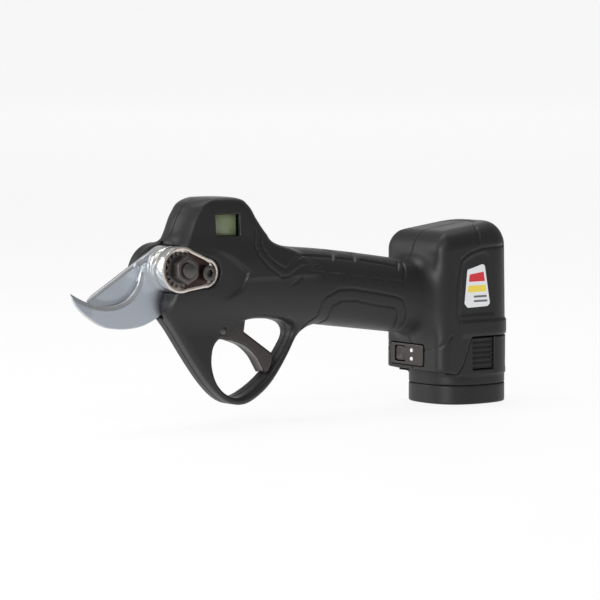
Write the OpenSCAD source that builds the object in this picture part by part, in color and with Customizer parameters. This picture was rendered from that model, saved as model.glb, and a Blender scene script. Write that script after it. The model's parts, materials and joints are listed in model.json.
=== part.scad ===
// Battery electric pruner: two plastic shells around an aluminium head frame,
// a two stage planetary gear motor, a bevel driven blade and a slide-on battery.
// Millimetres. The origin is the centre of the battery's flat foot, -X is forward,
// +Z is up, and -Y is the side that carries the display and the pivot nut.

/* [Overall] */
// Distance from the battery axis forward to the blade pivot
pivot_reach = 207; // [200:1:215]
// Height of the blade pivot above the foot
pivot_rise = 85; // [82:1:90]
// Downward slope of the handle and the drive line, towards the rear
drive_tilt = 7.8; // [7:0.2:8.6]

/* [Shells] */
// Wall thickness of the plastic shells
wall = 2.4; // [2:0.1:2.6]
// Half the height of the handle
handle_half_h = 21; // [20.5:0.1:22]
// Half the width of the handle
handle_half_w = 19; // [18.8:0.1:20]
// Half the width of the trigger guard
guard_half_w = 7.8; // [7.4:0.1:8.4]
// Half the width of the battery housing
housing_half_w = 26; // [25.8:0.1:26.4]
// Height of the lower edge of the battery housing
housing_low = 20; // [18:0.5:22]

/* [Blades] */
// Thickness of the fixed hook blade
hook_t = 3; // [2.5:0.1:3]
// Thickness of the moving blade
blade_t = 2.8; // [2.4:0.1:2.8]
// Radius of the round pivot boss
boss_r = 12.4; // [12:0.1:12.6]
// Diameter of the pivot bolt
bolt_d = 8; // [7.5:0.1:8]
// Width across the flats of the pivot nut
nut_af = 13; // [12:0.5:13]

/* [Gears] */
// Tooth size of both planetary stages
gear_module = 0.6; // [0.6]
// Teeth on each sun gear
sun_teeth = 12; // [12]
// Teeth on each planet gear
planet_teeth = 15; // [15]
// Teeth on the bevel pinion
pinion_teeth = 12; // [12]
// Teeth on the full circle of the bevel sector
sector_teeth = 36; // [36]
// Outer cone distance of the bevel pair
cone_out = 21; // [20.5:0.1:21]

/* [Battery] */
// Half the length of the battery foot, front to back
foot_half_l = 26.1; // [26:0.1:26.6]
// Half the width of the battery foot
foot_half_w = 25; // [24.8:0.1:25.6]
// Diameter of one cell
cell_d = 18.4; // [18:0.1:18.6]
// Length of one cell
cell_l = 65; // [60:1:66]

/* [Hidden] */
$fn = 64;

eps = 0.02;
gap = 0.4;              // clearance between loose neighbours
run = 0.05;             // radial clearance of a running fit
slope = tan(drive_tilt);

// Stack of parts along the pivot axis, near side negative
boss_face_y = -15.2;    // outer face of the pivot boss
recess_floor_y = -13.2; // floor of the recess that holds the washer and lock plate
hook_y0 = -2;
hook_y1 = hook_y0 + hook_t;
blade_y0 = hook_y1 + 0.05;
blade_y1 = blade_y0 + blade_t;
hub_y0 = blade_y1;
sector_back_y = 11;
washer_y0 = sector_back_y + run;
washer_y1 = washer_y0 + 1;
bolt_head_y1 = washer_y1 + run + 4.4;
nut_h = 6.5;
nut_y0 = -15 - nut_h;
bolt_end_y = nut_y0 - 1.4;

// The lock screw sits behind and a little below the pivot
lock_x = 16.5;
lock_z = -2.3;
lock_end_r = 8;
rim_w = 1.7;
// The frame's arm runs back inside the near shell to the gearbox flange
arm_y = 11.4;
arm_half_h = 8;

// Stations of the drive line, measured from the pivot along the handle axis
pinion_back = 24.5;
flange_s0 = 27;
flange_s1 = 33;
case_s0 = flange_s1 + 0.1;
carrier2_s0 = 34.2;
carrier2_s1 = 37.4;
stage2_s0 = 38;
stage2_s1 = 46;
carrier1_s0 = 47.4;
carrier1_s1 = 50.4;
stage1_s0 = 51;
stage1_s1 = 59;
case_s1 = 62;
motor_s0 = case_s1 + 0.1;
motor_s1 = 104;
case_r = 15.5;
output_shaft_r = 5;
motor_shaft_r = 2;
pin_r = 1.5;

// Planetary geometry
ring_teeth = sun_teeth + 2 * planet_teeth;
orbit_r = gear_module * (sun_teeth + planet_teeth) / 2;
pressure = 20;
backlash = 0.09;

// Bevel geometry: both pitch cones share their tip at the pivot centre
pinion_cone = atan(pinion_teeth / sector_teeth);
sector_cone = 90 - pinion_cone;
cone_in = cone_out - 5.2;
bevel_module = 2 * cone_out * sin(sector_cone) / sector_teeth;
sector_from = -14;      // degrees below the drive line
sector_to = 64;         // degrees above it

// Trigger pivot, from the blade pivot
trigger_x = 33;
trigger_z = -35;
trigger_half_w = 5;

screw_seat_y = 4;
screw_depth = 10;
screw_r = 1.4;
// X and Z of each shell screw from the blade pivot, and how far its post reaches from the middle
screw_points = [
    [12.5, -40, 6], [84, -31.5, 6], [20, 28.5, 13.2], [50, 13.5, 15],
    [112, -15, 17.5], [163, -9, 12.8], [158, -33, 14.5], [205, 6.5, 24.6]
];

/* ---------- frames of reference ---------- */

module at_pivot() translate([-pivot_reach, 0, pivot_rise]) children();

// local +X runs back along the handle axis
module on_drive() at_pivot() rotate([0, drive_tilt, 0]) children();

// a round bar along local X from a to b
module bar(a, b, r) translate([a, 0, 0]) rotate([0, 90, 0]) cylinder(h = b - a, r = r);

module tube(a, b, r_out, r_in) difference() {
    bar(a, b, r_out);
    bar(a - 1, b + 1, r_in);
}

// a round bar along Y from a to b
module pin_y(a, b, r) translate([0, b, 0]) rotate([90, 0, 0]) cylinder(h = b - a, r = r);

// a plate in the XZ plane from y = a to y = b
module plate_y(a, b) translate([0, b, 0]) rotate([90, 0, 0]) linear_extrude(b - a) children();

/* ---------- curves ---------- */

function spline(a, b, c, d, t) =
    0.5 * (2 * b + (c - a) * t + (2 * a - 5 * b + 4 * c - d) * t * t
    + (3 * b - a - 3 * c + d) * t * t * t);

function smooth_loop(p, n) = [
    for (i = [0:len(p) - 1], k = [0:n - 1])
        spline(p[(i + len(p) - 1) % len(p)], p[i], p[(i + 1) % len(p)],
            p[(i + 2) % len(p)], k / n)
];

// an open curve through the points from second to last but one
function smooth_run(p, n) = concat(
    [for (i = [1:len(p) - 3], k = [0:n - 1]) spline(p[i - 1], p[i], p[i + 1], p[i + 2], k / n)],
    [p[len(p) - 2]]
);

function unit2(v) = v / norm(v);

// moves each point of an anticlockwise loop inwards by d
function inset_loop(p, d) = [
    for (i = [0:len(p) - 1])
        let(t = unit2(p[(i + 1) % len(p)] - p[(i + len(p) - 1) % len(p)]))
        p[i] + d * [-t[1], t[0]]
];

function power(t, n) = sign(t) * pow(abs(t), 2 / n);

function arc(cx, cy, r, from, to, n) =
    [for (i = [0:n]) let(a = from + (to - from) * i / n) [cx + r * cos(a), cy + r * sin(a)]];

// joins equal loops of points into one closed solid; loops turn clockwise seen from the last
module skin(rings) {
    n = len(rings[0]);
    m = len(rings);
    polyhedron(
        points = [for (r = rings) each r],
        faces = concat(
            [[for (i = [n - 1:-1:0]) i]],
            [for (j = [0:m - 2], i = [0:n - 1]) [j * n + i, j * n + (i + 1) % n, (j + 1) * n + i]],
            [for (j = [0:m - 2], i = [0:n - 1])
                [j * n + (i + 1) % n, (j + 1) * n + (i + 1) % n, (j + 1) * n + i]],
            [[for (i = [0:n - 1]) (m - 1) * n + i]]
        ),
        convexity = 8
    );
}

/* ---------- outer form of the shells, from the pivot, shrunk by g ---------- */

core_n = 32;
function core_top(x) = lookup(x, [[-1, 15], [30, 16], [60, 12.5], [80, 9.2], [100, 7.3]])
    - max(0, x - 100) * slope;
function core_low(x) = -22 - 0.132 * x;
function core_w(x) = lookup(x, [[-1, 12.8], [10, 14.6], [22, 17.6], [30, 18.2], [60, 18.7], [90, handle_half_w]]);
function core_n_at(x) = lookup(x, [[-1, 4.2], [30, 3.6], [75, 2.5]]);
function core_ring(x, g, pull) = let(n = core_n_at(x),
        top = core_top(x) - g - pull, low = core_low(x) + g + pull,
        zc = (top + low) / 2, hz = (top - low) / 2, w = core_w(x) - g - pull)
    [for (i = [0:core_n - 1]) let(a = -360 * i / core_n)
        [x, w * power(cos(a), n), zc + hz * power(sin(a), n)]];

module core(g) skin(concat(
    [core_ring(-0.7 + g, g, 3), core_ring(0.3 + g, g, 1), core_ring(3 + g, g, 0)],
    [for (x = [12:10:182]) core_ring(x, g, 0)]
));

// the hood: a narrow front face, sides that spread towards the rear, and a tapered back
hump_nose = 13.2;
hump_spread = 0.15;
function hump_front(z) = lookup(z,
    [[0, 1], [12, 1.6], [14.8, 2.4], [20.7, 4.8], [30, 9.4], [34.5, 13.3], [36, 16], [37.6, 20]]);
function hump_back(z) = lookup(z,
    [[0, 87], [8.6, 75], [11, 67], [17.3, 60], [25.7, 53.5], [33.6, 48], [36.8, 44], [37.6, 40]]);
function hump_w(z) = lookup(z, [[0, 17.4], [12, 16.6], [24, 16], [33, 15.2], [36.5, 13.5], [37.6, 11]]);
function hump_side(z, g) = let(
        zs = min(37.6, z + g * 0.98), f = hump_front(zs), b = hump_back(zs) - g * 0.6,
        w = hump_w(zs) - g, nose = min(hump_nose, w + g - 1.6) - g,
        spread_x = max(f + g + 7, min(f + (w - nose) / hump_spread, b - 11)))
    concat(
        [for (t = [0, 0.35, 0.7, 0.93]) [f + g + 4 * t * t, nose * t, z]],
        [[f + g + 4.3, nose, z], [f + g + 5.5, nose + 0.4, z], [spread_x, w, z]],
        arc_xy(b - 9, w - 8, 9, 8, 90, 0, 5, z)
    );
function arc_xy(cx, cy, rx, ry, from, to, n, z) =
    [for (i = [0:n]) let(a = from + (to - from) * i / n) [cx + rx * cos(a), cy + ry * sin(a), z]];
// the loop turns clockwise seen from above
function hump_ring(z, g) = let(h = hump_side(z, g), n = len(h))
    concat(h, [for (i = [n - 1:-1:1]) [h[i][0], -h[i][1], h[i][2]]]);

module hump(g) skin([for (z = [0, 6, 12, 17.3, 21, 25.7, 29, 33.6 - g / 2, 35.6 - g, 36.9 - g, 37.6 - g])
    hump_ring(z, g)]);

// side outline of the trigger guard, anticlockwise in X and Z
guard_outer = smooth_loop([
    [-0.7, -16], [-0.6, -27], [11.4, -46], [25.7, -64.5], [37, -74], [47.5, -76.4], [57, -73.4],
    [67.5, -66], [77.5, -54], [85.5, -41], [90, -28], [70, -18], [35, -10]
], 5);
guard_hole = smooth_loop([
    [27.2, -45], [26.6, -54], [30, -63.6], [37.5, -70.4], [47.5, -71.6], [63.8, -62.2],
    [76.2, -48], [81.6, -37.5], [76, -32], [56, -29.3], [44.5, -31.2], [36.3, -37.6], [30.5, -40.3]
], 5);
// the rear limb of the guard is narrower than the front one
function guard_taper(x) = lookup(x, [[45, 1], [85, 0.76]]);
function ring_xz(p, y) = [for (q = p) [q[0], y * guard_taper(q[0]), q[1]]];

guard_edge = 3.4;
guard_steps = [90, 60, 30, 0];

module guard() difference() {
    skin([
        for (s = [-1, 1], a = s < 0 ? guard_steps : [0, 30, 60, 90])
            ring_xz(inset_loop(guard_outer, guard_edge * (1 - cos(a))),
                s * (guard_half_w - guard_edge + guard_edge * sin(a)))
    ]);
    skin([
        for (s = [-1, 1], a = s < 0 ? [100, 60, 30, 0] : [0, 30, 60, 100])
            ring_xz(inset_loop(guard_hole, -guard_edge * (1 - cos(min(a, 90)))),
                s * (guard_half_w - guard_edge + guard_edge * (a > 90 ? 1.1 : sin(a))))
    ]);
}

// plan of the battery housing: flat sides, small front corners, large rear corners
housing_front = -33.6;
housing_back = 24.5;
housing_top = 103;
housing_lean = 0.13;
housing_edge = 12;
rear_corner = 18;
function housing_plan(g) = concat(
    arc(housing_back - rear_corner, housing_half_w - rear_corner, rear_corner - g, 90, 0, 7),
    arc(housing_back - rear_corner, rear_corner - housing_half_w, rear_corner - g, 0, -90, 7),
    arc(housing_front + 7, 7 - housing_half_w, 7 - g, -90, -180, 5),
    arc(housing_front + 7, housing_half_w - 7, 7 - g, 180, 90, 5)
);
function housing_ring(z, g, lean) = [for (q = housing_plan(g)) [q[0], q[1], z + lean * q[0]]];
function top_plan(g, a) = let(d = housing_edge - (housing_edge - g) * cos(a),
        cx = (housing_back + housing_front) / 2)
    [for (q = housing_plan(min(d, 6.9)))
        let(k = d > 6.9 ? 1 - (d - 6.9) / 24 : 1) [cx + (q[0] - cx) * k, q[1] * k]];

module housing(g, low) skin(concat(
    [housing_ring(low, g, 0), housing_ring(housing_top - 24, g, 0)],
    [for (a = [0:15:90]) [for (q = top_plan(g, a)) [q[0], q[1],
        housing_top - housing_edge + (housing_edge - g) * sin(a) + housing_lean * q[0]]]]
));

module outer_form() {
    at_pivot() {
        core(0);
        hump(0);
        guard();
    }
    housing(0, housing_low);
}

module hollow_form() {
    at_pivot() {
        core(wall);
        hump(wall);
    }
    housing(wall, housing_low - 1);
}

module half_space(s) translate([-200, s > 0 ? 0 : -100, -20]) cube([400, 100, 200]) ;

// round cover over the far end of the pivot
hub_r = 11;
module far_nose() at_pivot() {
    pin_y(4.4, 13.6, hub_r + 2.4);
    translate([-1, 0, -3.5]) pin_y(4.4, 13.6, 15.5);
}

// free space for the hook, the swinging blade and its gear
module head_room() at_pivot() {
    plate_y(hook_y0 - 0.3, blade_y0) {
        circle(r = boss_r + gap);
        polygon([[-20, -40], [-2, -27], [4.4, -21], [4.4, 0], [-20, 0]]);
    }
    plate_y(hook_y1, blade_y1 + 0.4) {
        circle(r = boss_r + gap);
        polygon([[-20, -40], [-2, -27], [4.4, -21], [4.4, 0], [6.4, 12.2], [1, 20], [-20, 20]]);
    }
    pin_y(blade_y1, washer_y1 + 0.2, hub_r + gap);
    plate_y(blade_y1, washer_y1 + 0.2)
        polygon(concat([[0, 0]], arc(0, 0, cone_out + 0.6, -81, 68, 16)));
}

// tail of the boss towards the lock screw, between its end circles, grown by d; the corners
// lie a little inside the circles
module boss_tail(d) {
    lean = asin((boss_r - lock_end_r) / norm([lock_x, lock_z]));
    aim = atan2(lock_z, lock_x);
    front_r = boss_r + d - 0.3;
    back_r = lock_end_r + d - 0.3;
    sides = [for (s = [1, -1]) let(a = aim + s * (90 - lean)) [cos(a), sin(a)]];
    lock = [lock_x, lock_z];
    polygon([front_r * sides[0], lock + back_r * sides[0], lock + back_r * sides[1], front_r * sides[1]]);
}

// outline of the boss and its tail, grown by d
module boss_outline(d) {
    circle(r = boss_r + d);
    translate([lock_x, lock_z]) circle(r = lock_end_r + d);
    boss_tail(d);
}

boss_field = [[-5, 14], [16, 11.6], [31, 5], [42, -3], [38, -12], [20, -21], [4, -22], [-5, -10]];
boss_field_y = -16.7;
// thicker wall behind the field
boss_pad = [[14, 10], [31, 3.5], [40, -3.5], [36.5, -11], [20, -19], [14, -19]];
display_x = 30.8;
display_z = 22.8;
display_w = 15.8;
display_h = 12;

bezel_y = 9.8;
bezel_z = 28.4;

module screw_posts(r, side) at_pivot() for (p = screw_points)
    translate([p[0], 0, p[1]]) pin_y(side < 0 ? -p[2] : 0, side < 0 ? 0 : p[2], r);

module screw_holes(r, a, b) at_pivot() for (p = screw_points)
    translate([p[0], 0, p[1]]) pin_y(a, b, r);

// rings inside the handle that hold the gearbox and the motor
module motor_ribs() on_drive() for (a = [46, 70, 98]) tube(a, a + 2, handle_half_w - 1.2, case_r);

// the rear of the skirt is cut away so that the battery's grip panels can be reached
skirt_notch = [[-10.7, 39], [-17.8, 22.6], [-23, 17], [-23, 0], [60, 0], [60, 39]];
module skirt_cut() plate_y(-60, 60) polygon(skirt_notch);

trigger_slot = [[27, -35.5], [33, -28], [46, -21], [58, -21], [60, -31], [59, -40], [36, -48], [28, -42]];

module shell_cuts() {
    head_room();
    // gearbox and motor
    on_drive() bar(flange_s0 - 1, motor_s1 + 1, case_r + 0.1);
    on_drive() bar(8, flange_s0, 9.4);
    // boss, lock plate and arm of the head frame
    at_pivot() plate_y(-40, 0) boss_outline(gap);
    on_drive() translate([0, -arm_y - gap, -arm_half_h - gap])
        cube([flange_s1, arm_y - 8, 2 * (arm_half_h + gap)]);
    at_pivot() plate_y(-trigger_half_w - 0.5, trigger_half_w + 0.5) polygon(trigger_slot);
    at_pivot() translate([trigger_x, 0, trigger_z]) pin_y(-20, 6.6, 2 + run);
    // bolt head on the far side
    at_pivot() pin_y(11, 40, 7.4);
    skirt_cut();
    // power switch opening in the front of the battery housing
    translate([housing_front - 5, bezel_y - 14.4, bezel_z - 6.4]) cube([12, 28.8, 12.8]);
}

// one half of the shells, with its posts and ribs
module shell_half(side) {
    intersection() {
        difference() {
            outer_form();
            hollow_form();
        }
        half_space(side);
    }
    screw_posts(side < 0 ? 3.6 : 4.4, side);
    intersection() {
        motor_ribs();
        half_space(side);
    }
}

module left_shell() color([0.16, 0.15, 0.16]) difference() {
    union() {
        shell_half(-1);
        at_pivot() plate_y(boss_field_y - 0.3, boss_field_y + 3) polygon(boss_pad);
    }
    shell_cuts();
    screw_holes(screw_r + 0.1, -8, 1);
    // pocket for the trigger sensor
    at_pivot() translate([43.8, -7.1, -29.6]) cube([9.4, 3, 7.6]);
    // display window
    at_pivot() translate([display_x - display_w / 2, -40, display_z - display_h / 2])
        cube([display_w, 40, display_h]);
    // shallow field round the boss
    at_pivot() plate_y(-40, boss_field_y) polygon(boss_field);
    // label seat
    translate([-16.7, -housing_half_w - 1, 55]) cube([19.5, 1.5, 26.5]);
}

module right_shell() color([0.16, 0.15, 0.16]) difference() {
    union() {
        shell_half(1);
        far_nose();
    }
    shell_cuts();
    screw_holes(screw_r + 0.2, -1, 40);
    screw_holes(3.1, screw_seat_y, 60);
}

module shell_screws() color("silver") at_pivot() for (p = screw_points) translate([p[0], 0, p[1]]) {
    difference() {
        pin_y(screw_seat_y + eps, screw_seat_y + 2.2, 2.8);
        pin_y(screw_seat_y + 1, screw_seat_y + 3, 1.3);
    }
    pin_y(screw_seat_y - screw_depth, screw_seat_y + 0.1, screw_r);
}

/* ---------- head ---------- */

module head_frame() color([0.82, 0.83, 0.84]) difference() {
    union() {
        at_pivot() {
            plate_y(boss_face_y, -9) boss_outline(0);
            pin_y(boss_face_y, hook_y0 - 0.02, boss_r);
        }
        on_drive() {
            translate([0, -arm_y, -arm_half_h]) cube([flange_s1, arm_y - 8.7, 2 * arm_half_h]);
            bar(flange_s0, flange_s1, case_r);
        }
    }
    at_pivot() {
        // grooves round the front of the boss
        for (y = [-8.1, -4.7]) difference() {
            pin_y(y - 0.2, y + 0.2, boss_r + 1);
            pin_y(y - 0.3, y + 0.3, boss_r - 0.5);
            translate([0, -12, -20]) cube([60, 12, 40]);
        }
        plate_y(boss_face_y - 1, recess_floor_y) boss_outline(-rim_w);
        pin_y(-30, 5, bolt_d / 2 + run);
        translate([lock_x, 0, lock_z]) pin_y(-30, -9.5, 2.1);
        for (a = [110, 190, 250]) rotate([0, -a, 0]) translate([8.6, 0, 0]) pin_y(-7, 0, 1.3);
    }
    on_drive() {
        bar(flange_s0 - 1, flange_s1 + 1, 9.5 + 0.01);
        // pinion room
        bar(10, flange_s0 - 1, 8.9);
    }
}

// outline of the hook: concave cutting edge above, belly below, round heel at the pivot
hook_edge = [
    [-64, -6], [-61, -10.6], [-53.6, -14.6], [-46, -17.4], [-37.7, -18.5], [-29.6, -17.4],
    [-23, -13.6], [-18.6, -8], [-16.6, -1], [-16, 5]
];
hook_belly = [
    [2, -20], [-2.2, -23.4], [-7.4, -26.6], [-16, -30], [-25, -31.2], [-34, -30.8], [-42.5, -28.8],
    [-52, -23], [-58, -17], [-61, -10.6], [-62, -4]
];

module hook_outline() polygon(concat(
    smooth_run(hook_edge, 5),
    [[-14.2, 3.4], [-10, 4], [0, 0], [5.6, -10.7], [3, -18]],
    smooth_run(hook_belly, 4)
));

module fixed_blade() color([0.66, 0.68, 0.71]) at_pivot() difference() {
    union() {
        plate_y(hook_y0, hook_y1) hook_outline();
        pin_y(hook_y0, hook_y1, boss_r);
    }
    pin_y(-10, 10, bolt_d / 2 + run);
    for (a = [110, 190, 250]) rotate([0, -a, 0]) translate([8.6, 0, 0]) {
        pin_y(-10, 10, 1.35);
        translate([0, hook_y1 + 0.01, 0]) rotate([90, 0, 0]) cylinder(h = 1.3, r1 = 2.5, r2 = 1.25);
    }
}

module fixed_blade_screws() color([0.5, 0.5, 0.5]) at_pivot()
    for (a = [110, 190, 250]) rotate([0, -a, 0]) translate([8.6, 0, 0]) {
        pin_y(-6.8, hook_y1 - 0.2, 1.2);
        translate([0, hook_y1 - 0.1, 0]) rotate([90, 0, 0]) cylinder(h = 1.1, r1 = 2.3, r2 = 1.2);
    }

module pivot_bolt() color([0.45, 0.44, 0.44]) at_pivot() difference() {
    union() {
        pin_y(bolt_end_y, washer_y1 + run + 0.1, bolt_d / 2);
        pin_y(washer_y1 + run, bolt_head_y1, 6.5);
    }
    translate([0, bolt_head_y1 + 0.1, 0]) rotate([90, 0, 0]) cylinder(h = 2.6, r = 2.9, $fn = 6);
}

module pivot_bush() color([0.72, 0.52, 0.28]) at_pivot() difference() {
    pin_y(blade_y0 + 0.1, sector_back_y - 0.1, bolt_d / 2 + 1.5);
    pin_y(0, 20, bolt_d / 2 + 0.02);
}

module thrust_washer() color([0.6, 0.6, 0.6]) at_pivot() difference() {
    pin_y(washer_y0, washer_y1, 8);
    pin_y(0, 20, bolt_d / 2 + 0.02);
}

washer_teeth = 18;
function washer_loop(d) = [
    for (i = [0:washer_teeth - 1], k = [[-0.34, 8.1], [-0.2, 9.5], [0.2, 9.5], [0.34, 8.1]])
        let(a = 360 * (i + k[0]) / washer_teeth) (k[1] + d) * [cos(a), sin(a)]
];

module toothed_washer() color([0.4, 0.38, 0.38]) at_pivot() difference() {
    plate_y(recess_floor_y - 1.78, recess_floor_y - eps) polygon(washer_loop(0));
    pin_y(-40, 0, bolt_d / 2 + run);
}

module pivot_nut() color([0.38, 0.35, 0.35]) at_pivot() difference() {
    intersection() {
        translate([0, -15, 0]) rotate([90, 30, 0])
            cylinder(h = nut_h, r = nut_af / 2 / cos(30), $fn = 6);
        translate([0, -15 + eps, 0]) rotate([90, 0, 0])
            cylinder(h = nut_h + 2 * eps, r1 = nut_af / 2 + 3.2, r2 = nut_af / 2 + 0.5);
    }
    pin_y(-40, 0, bolt_d / 2 + run);
}

module lock_plate() color([0.24, 0.17, 0.15]) at_pivot() difference() {
    plate_y(recess_floor_y - 1.6, recess_floor_y - eps) difference() {
        boss_tail(-rim_w - 0.25);
        polygon(washer_loop(0.12));
    }
    translate([lock_x, 0, lock_z]) pin_y(-40, 0, 2.65);
}

module lock_screw() color([0.42, 0.4, 0.4]) at_pivot() translate([lock_x, 0, lock_z]) difference() {
    union() {
        pin_y(recess_floor_y - 4.9, recess_floor_y - 1.65, 4.2);
        pin_y(recess_floor_y - 2, -9.7, 2.05);
    }
    translate([0, recess_floor_y - 2.6, 0]) rotate([90, 0, 0]) cylinder(h = 5, r = 2.2, $fn = 6);
}

/* ---------- moving blade ---------- */

blade_edge = [
    [-50, -10], [-50.5, -15.6], [-45, -19.2], [-37.5, -20.6], [-29, -20], [-21.6, -16.4],
    [-16.2, -10.6], [-12.6, -4], [-10, 2]
];

module blade_outline() {
    // the spine runs straight from the tip to a tangent on the round heel
    heel = boss_r;
    tip = [-50.5, -15.6];
    aim = atan2(tip[1], tip[0]) + 360;
    lean = acos(heel / norm(tip));
    polygon(concat(smooth_run(blade_edge, 5), [[0, 0]], [heel * [cos(aim - lean), sin(aim - lean)]]));
    circle(r = heel);
}

module moving_blade() color([0.6, 0.63, 0.67]) at_pivot() difference() {
    plate_y(blade_y0, blade_y1) blade_outline();
    pin_y(-1, 20, bolt_d / 2 + 1.5 + run);
    rivet_places() pin_y(-1, 20, 1.55);
}

module rivet_places() for (a = [60, 180, 300]) rotate([0, a, 0]) translate([8.3, 0, 0]) children();

module blade_rivets() color([0.7, 0.7, 0.72]) at_pivot() rivet_places() {
    pin_y(blade_y0 + 0.02, sector_back_y - 0.05, 1.5);
}

/* ---------- bevel pair ---------- */

// angle round the gear axis at which an involute on the cone reaches the polar angle g
function cone_involute(g, base) =
    acos(min(1, cos(g) / cos(base))) / sin(base) - acos(min(1, tan(base) / tan(g)));

// [azimuth, polar angle] along one tooth, with the tooth centred on azimuth 0
function bevel_tooth(teeth, cone, add, ded) = let(
        base = asin(cos(pressure) * sin(cone)),
        tip = cone + atan(add * bevel_module / cone_out),
        root = cone - atan(ded * bevel_module / cone_out),
        half = 90 / teeth - 0.5 * backlash / (cone_out * sin(cone)) * 180 / PI,
        low = max(root, base + 0.01),
        side = [for (k = [0:3]) let(g = low + (tip - low) * k / 3)
            [half + cone_involute(cone, base) - cone_involute(g, base), g]])
    concat(
        [[-180 / teeth, root]],
        root < low ? [[-side[0][0], root]] : [],
        [for (p = side) [-p[0], p[1]]],
        [for (k = [3:-1:0]) side[k]],
        root < low ? [[side[0][0], root]] : []
    );
function cone_dir(az, polar) = [cos(polar), sin(polar) * cos(az), sin(polar) * sin(az)];
// the same about the pivot axis
function sector_dir(az, polar) = [sin(polar) * cos(az), cos(polar), sin(polar) * sin(az)];

// a full bevel gear between the two cone distances, with a fan of faces at each end
module bevel_gear(profile) {
    n = len(profile);
    points = concat(
        [for (d = [cone_out, cone_in], p = profile) d * cone_dir(p[0], p[1])],
        [for (d = [cone_out, cone_in]) [d * cos(profile[0][1]), 0, 0]]
    );
    polyhedron(points = points, faces = concat(
        [for (i = [0:n - 1]) let(j = (i + 1) % n) [i, j, n + i]],
        [for (i = [0:n - 1]) let(j = (i + 1) % n) [j, n + j, n + i]],
        [for (i = [0:n - 1]) let(j = (i + 1) % n) [j, i, 2 * n]],
        [for (i = [0:n - 1]) let(j = (i + 1) % n) [n + i, n + j, 2 * n + 1]]
    ), convexity = 8);
}

// part of a bevel ring: each section is a flat loop from the teeth to a flat back and the hub
module bevel_segment(profile, hub, front, back, rim) {
    n = len(profile);
    points = [for (p = profile) let(c = cos(p[0]), s = sin(p[0])) each [
        cone_out * sector_dir(p[0], p[1]), cone_in * sector_dir(p[0], p[1]),
        [hub * c, front, hub * s], [hub * c, back, hub * s], [rim * c, back, rim * s]]];
    polyhedron(points = points, faces = concat(
        [for (i = [0:n - 2], k = [0:4]) let(l = (k + 1) % 5) [5 * i + k, 5 * i + l, 5 * i + 5 + k]],
        [for (i = [0:n - 2], k = [0:4]) let(l = (k + 1) % 5) [5 * i + l, 5 * i + 5 + l, 5 * i + 5 + k]],
        [[4, 3, 2, 1, 0], [for (k = [0:4]) 5 * (n - 1) + k]]
    ), convexity = 8);
}

pinion_tooth = bevel_tooth(pinion_teeth, pinion_cone, 0.9, 0.85);
sector_tooth = bevel_tooth(sector_teeth, sector_cone, 0.6, 1.15);

module bevel_pinion() color([0.55, 0.55, 0.56]) on_drive() {
    bevel_gear([for (i = [0:pinion_teeth - 1], p = pinion_tooth)
        [p[0] + i * 360 / pinion_teeth, p[1]]]);
    bar(cone_out * cos(pinion_cone) - 0.8, carrier2_s0 - 0.05, output_shaft_r);
}

module bevel_sector() color([0.5, 0.51, 0.53]) difference() {
    union() {
        on_drive() {
            pitch = 360 / sector_teeth;
            first = floor(sector_from / pitch);
            last = ceil(sector_to / pitch) - 1;
            bevel_segment([for (i = [first:last], p = sector_tooth) [p[0] + (i + 0.5) * pitch, p[1]]],
                hub_r - 0.8, 7.6, sector_back_y - 0.2, 18.8);
        }
        at_pivot() {
            pin_y(hub_y0, sector_back_y, hub_r);
        }
    }
    at_pivot() pin_y(-1, 20, bolt_d / 2 + 1.5 + run);
    at_pivot() rivet_places() pin_y(-1, 20, 1.55);
}

/* ---------- planetary gears ---------- */

function involute(r, base) = let(a = acos(base / r)) tan(a) * 180 / PI - a;

// outline of an involute gear; add and ded are in modules, spread is extra tooth thickness
function gear_loop(teeth, add, ded, spread) = let(
        pitch_r = teeth * gear_module / 2,
        base = pitch_r * cos(pressure),
        tip = pitch_r + add * gear_module,
        root = pitch_r - ded * gear_module,
        low = max(root, base + 0.001),
        half = 90 / teeth + 0.5 * spread / pitch_r * 180 / PI + involute(pitch_r, base),
        side = [for (k = [0:3]) let(r = low + (tip - low) * k / 3) [half - involute(r, base), r]])
    [for (i = [0:teeth - 1], p = concat(
            root < low - 0.02 ? [[-side[0][0], root]] : [],
            [for (q = side) [-q[0], q[1]]],
            [for (k = [3:-1:0]) side[k]],
            root < low - 0.02 ? [[side[0][0], root]] : []))
        let(a = p[0] + 360 * i / teeth) p[1] * [cos(a), sin(a)]];

// lays a flat outline across the drive line, so that its X points up and its Y points to -Y
module across(a, b) translate([a, 0, 0]) rotate([0, 90, 0]) linear_extrude(b - a) children();

module sun(a, b) on_drive() across(a, b) difference() {
    polygon(gear_loop(sun_teeth, 0.8, 1.05, -backlash));
    circle(r = motor_shaft_r + 0.02);
}

module planet(index, a, b) {
    angle = 120 * index;
    turn = angle + 180 + angle * sun_teeth / planet_teeth - 180 / planet_teeth;
    on_drive() across(a, b) rotate(angle) translate([orbit_r, 0]) rotate(turn - angle) difference() {
        polygon(gear_loop(planet_teeth, 0.8, 1.05, -backlash));
        circle(r = pin_r + run);
    }
}

module planet_pins(a, b) on_drive() for (i = [0:2])
    rotate([120 * i, 0, 0]) translate([0, 0, -orbit_r]) bar(a, b, pin_r);

module carrier_plate(a, b, hole) on_drive() difference() {
    bar(a, b, 11.6);
    if (hole > 0) bar(a - 1, b + 1, hole);
    for (i = [0:2]) rotate([120 * i, 0, 0]) translate([0, 0, -orbit_r]) bar(a - 1, b + 1, pin_r + 0.01);
}

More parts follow.
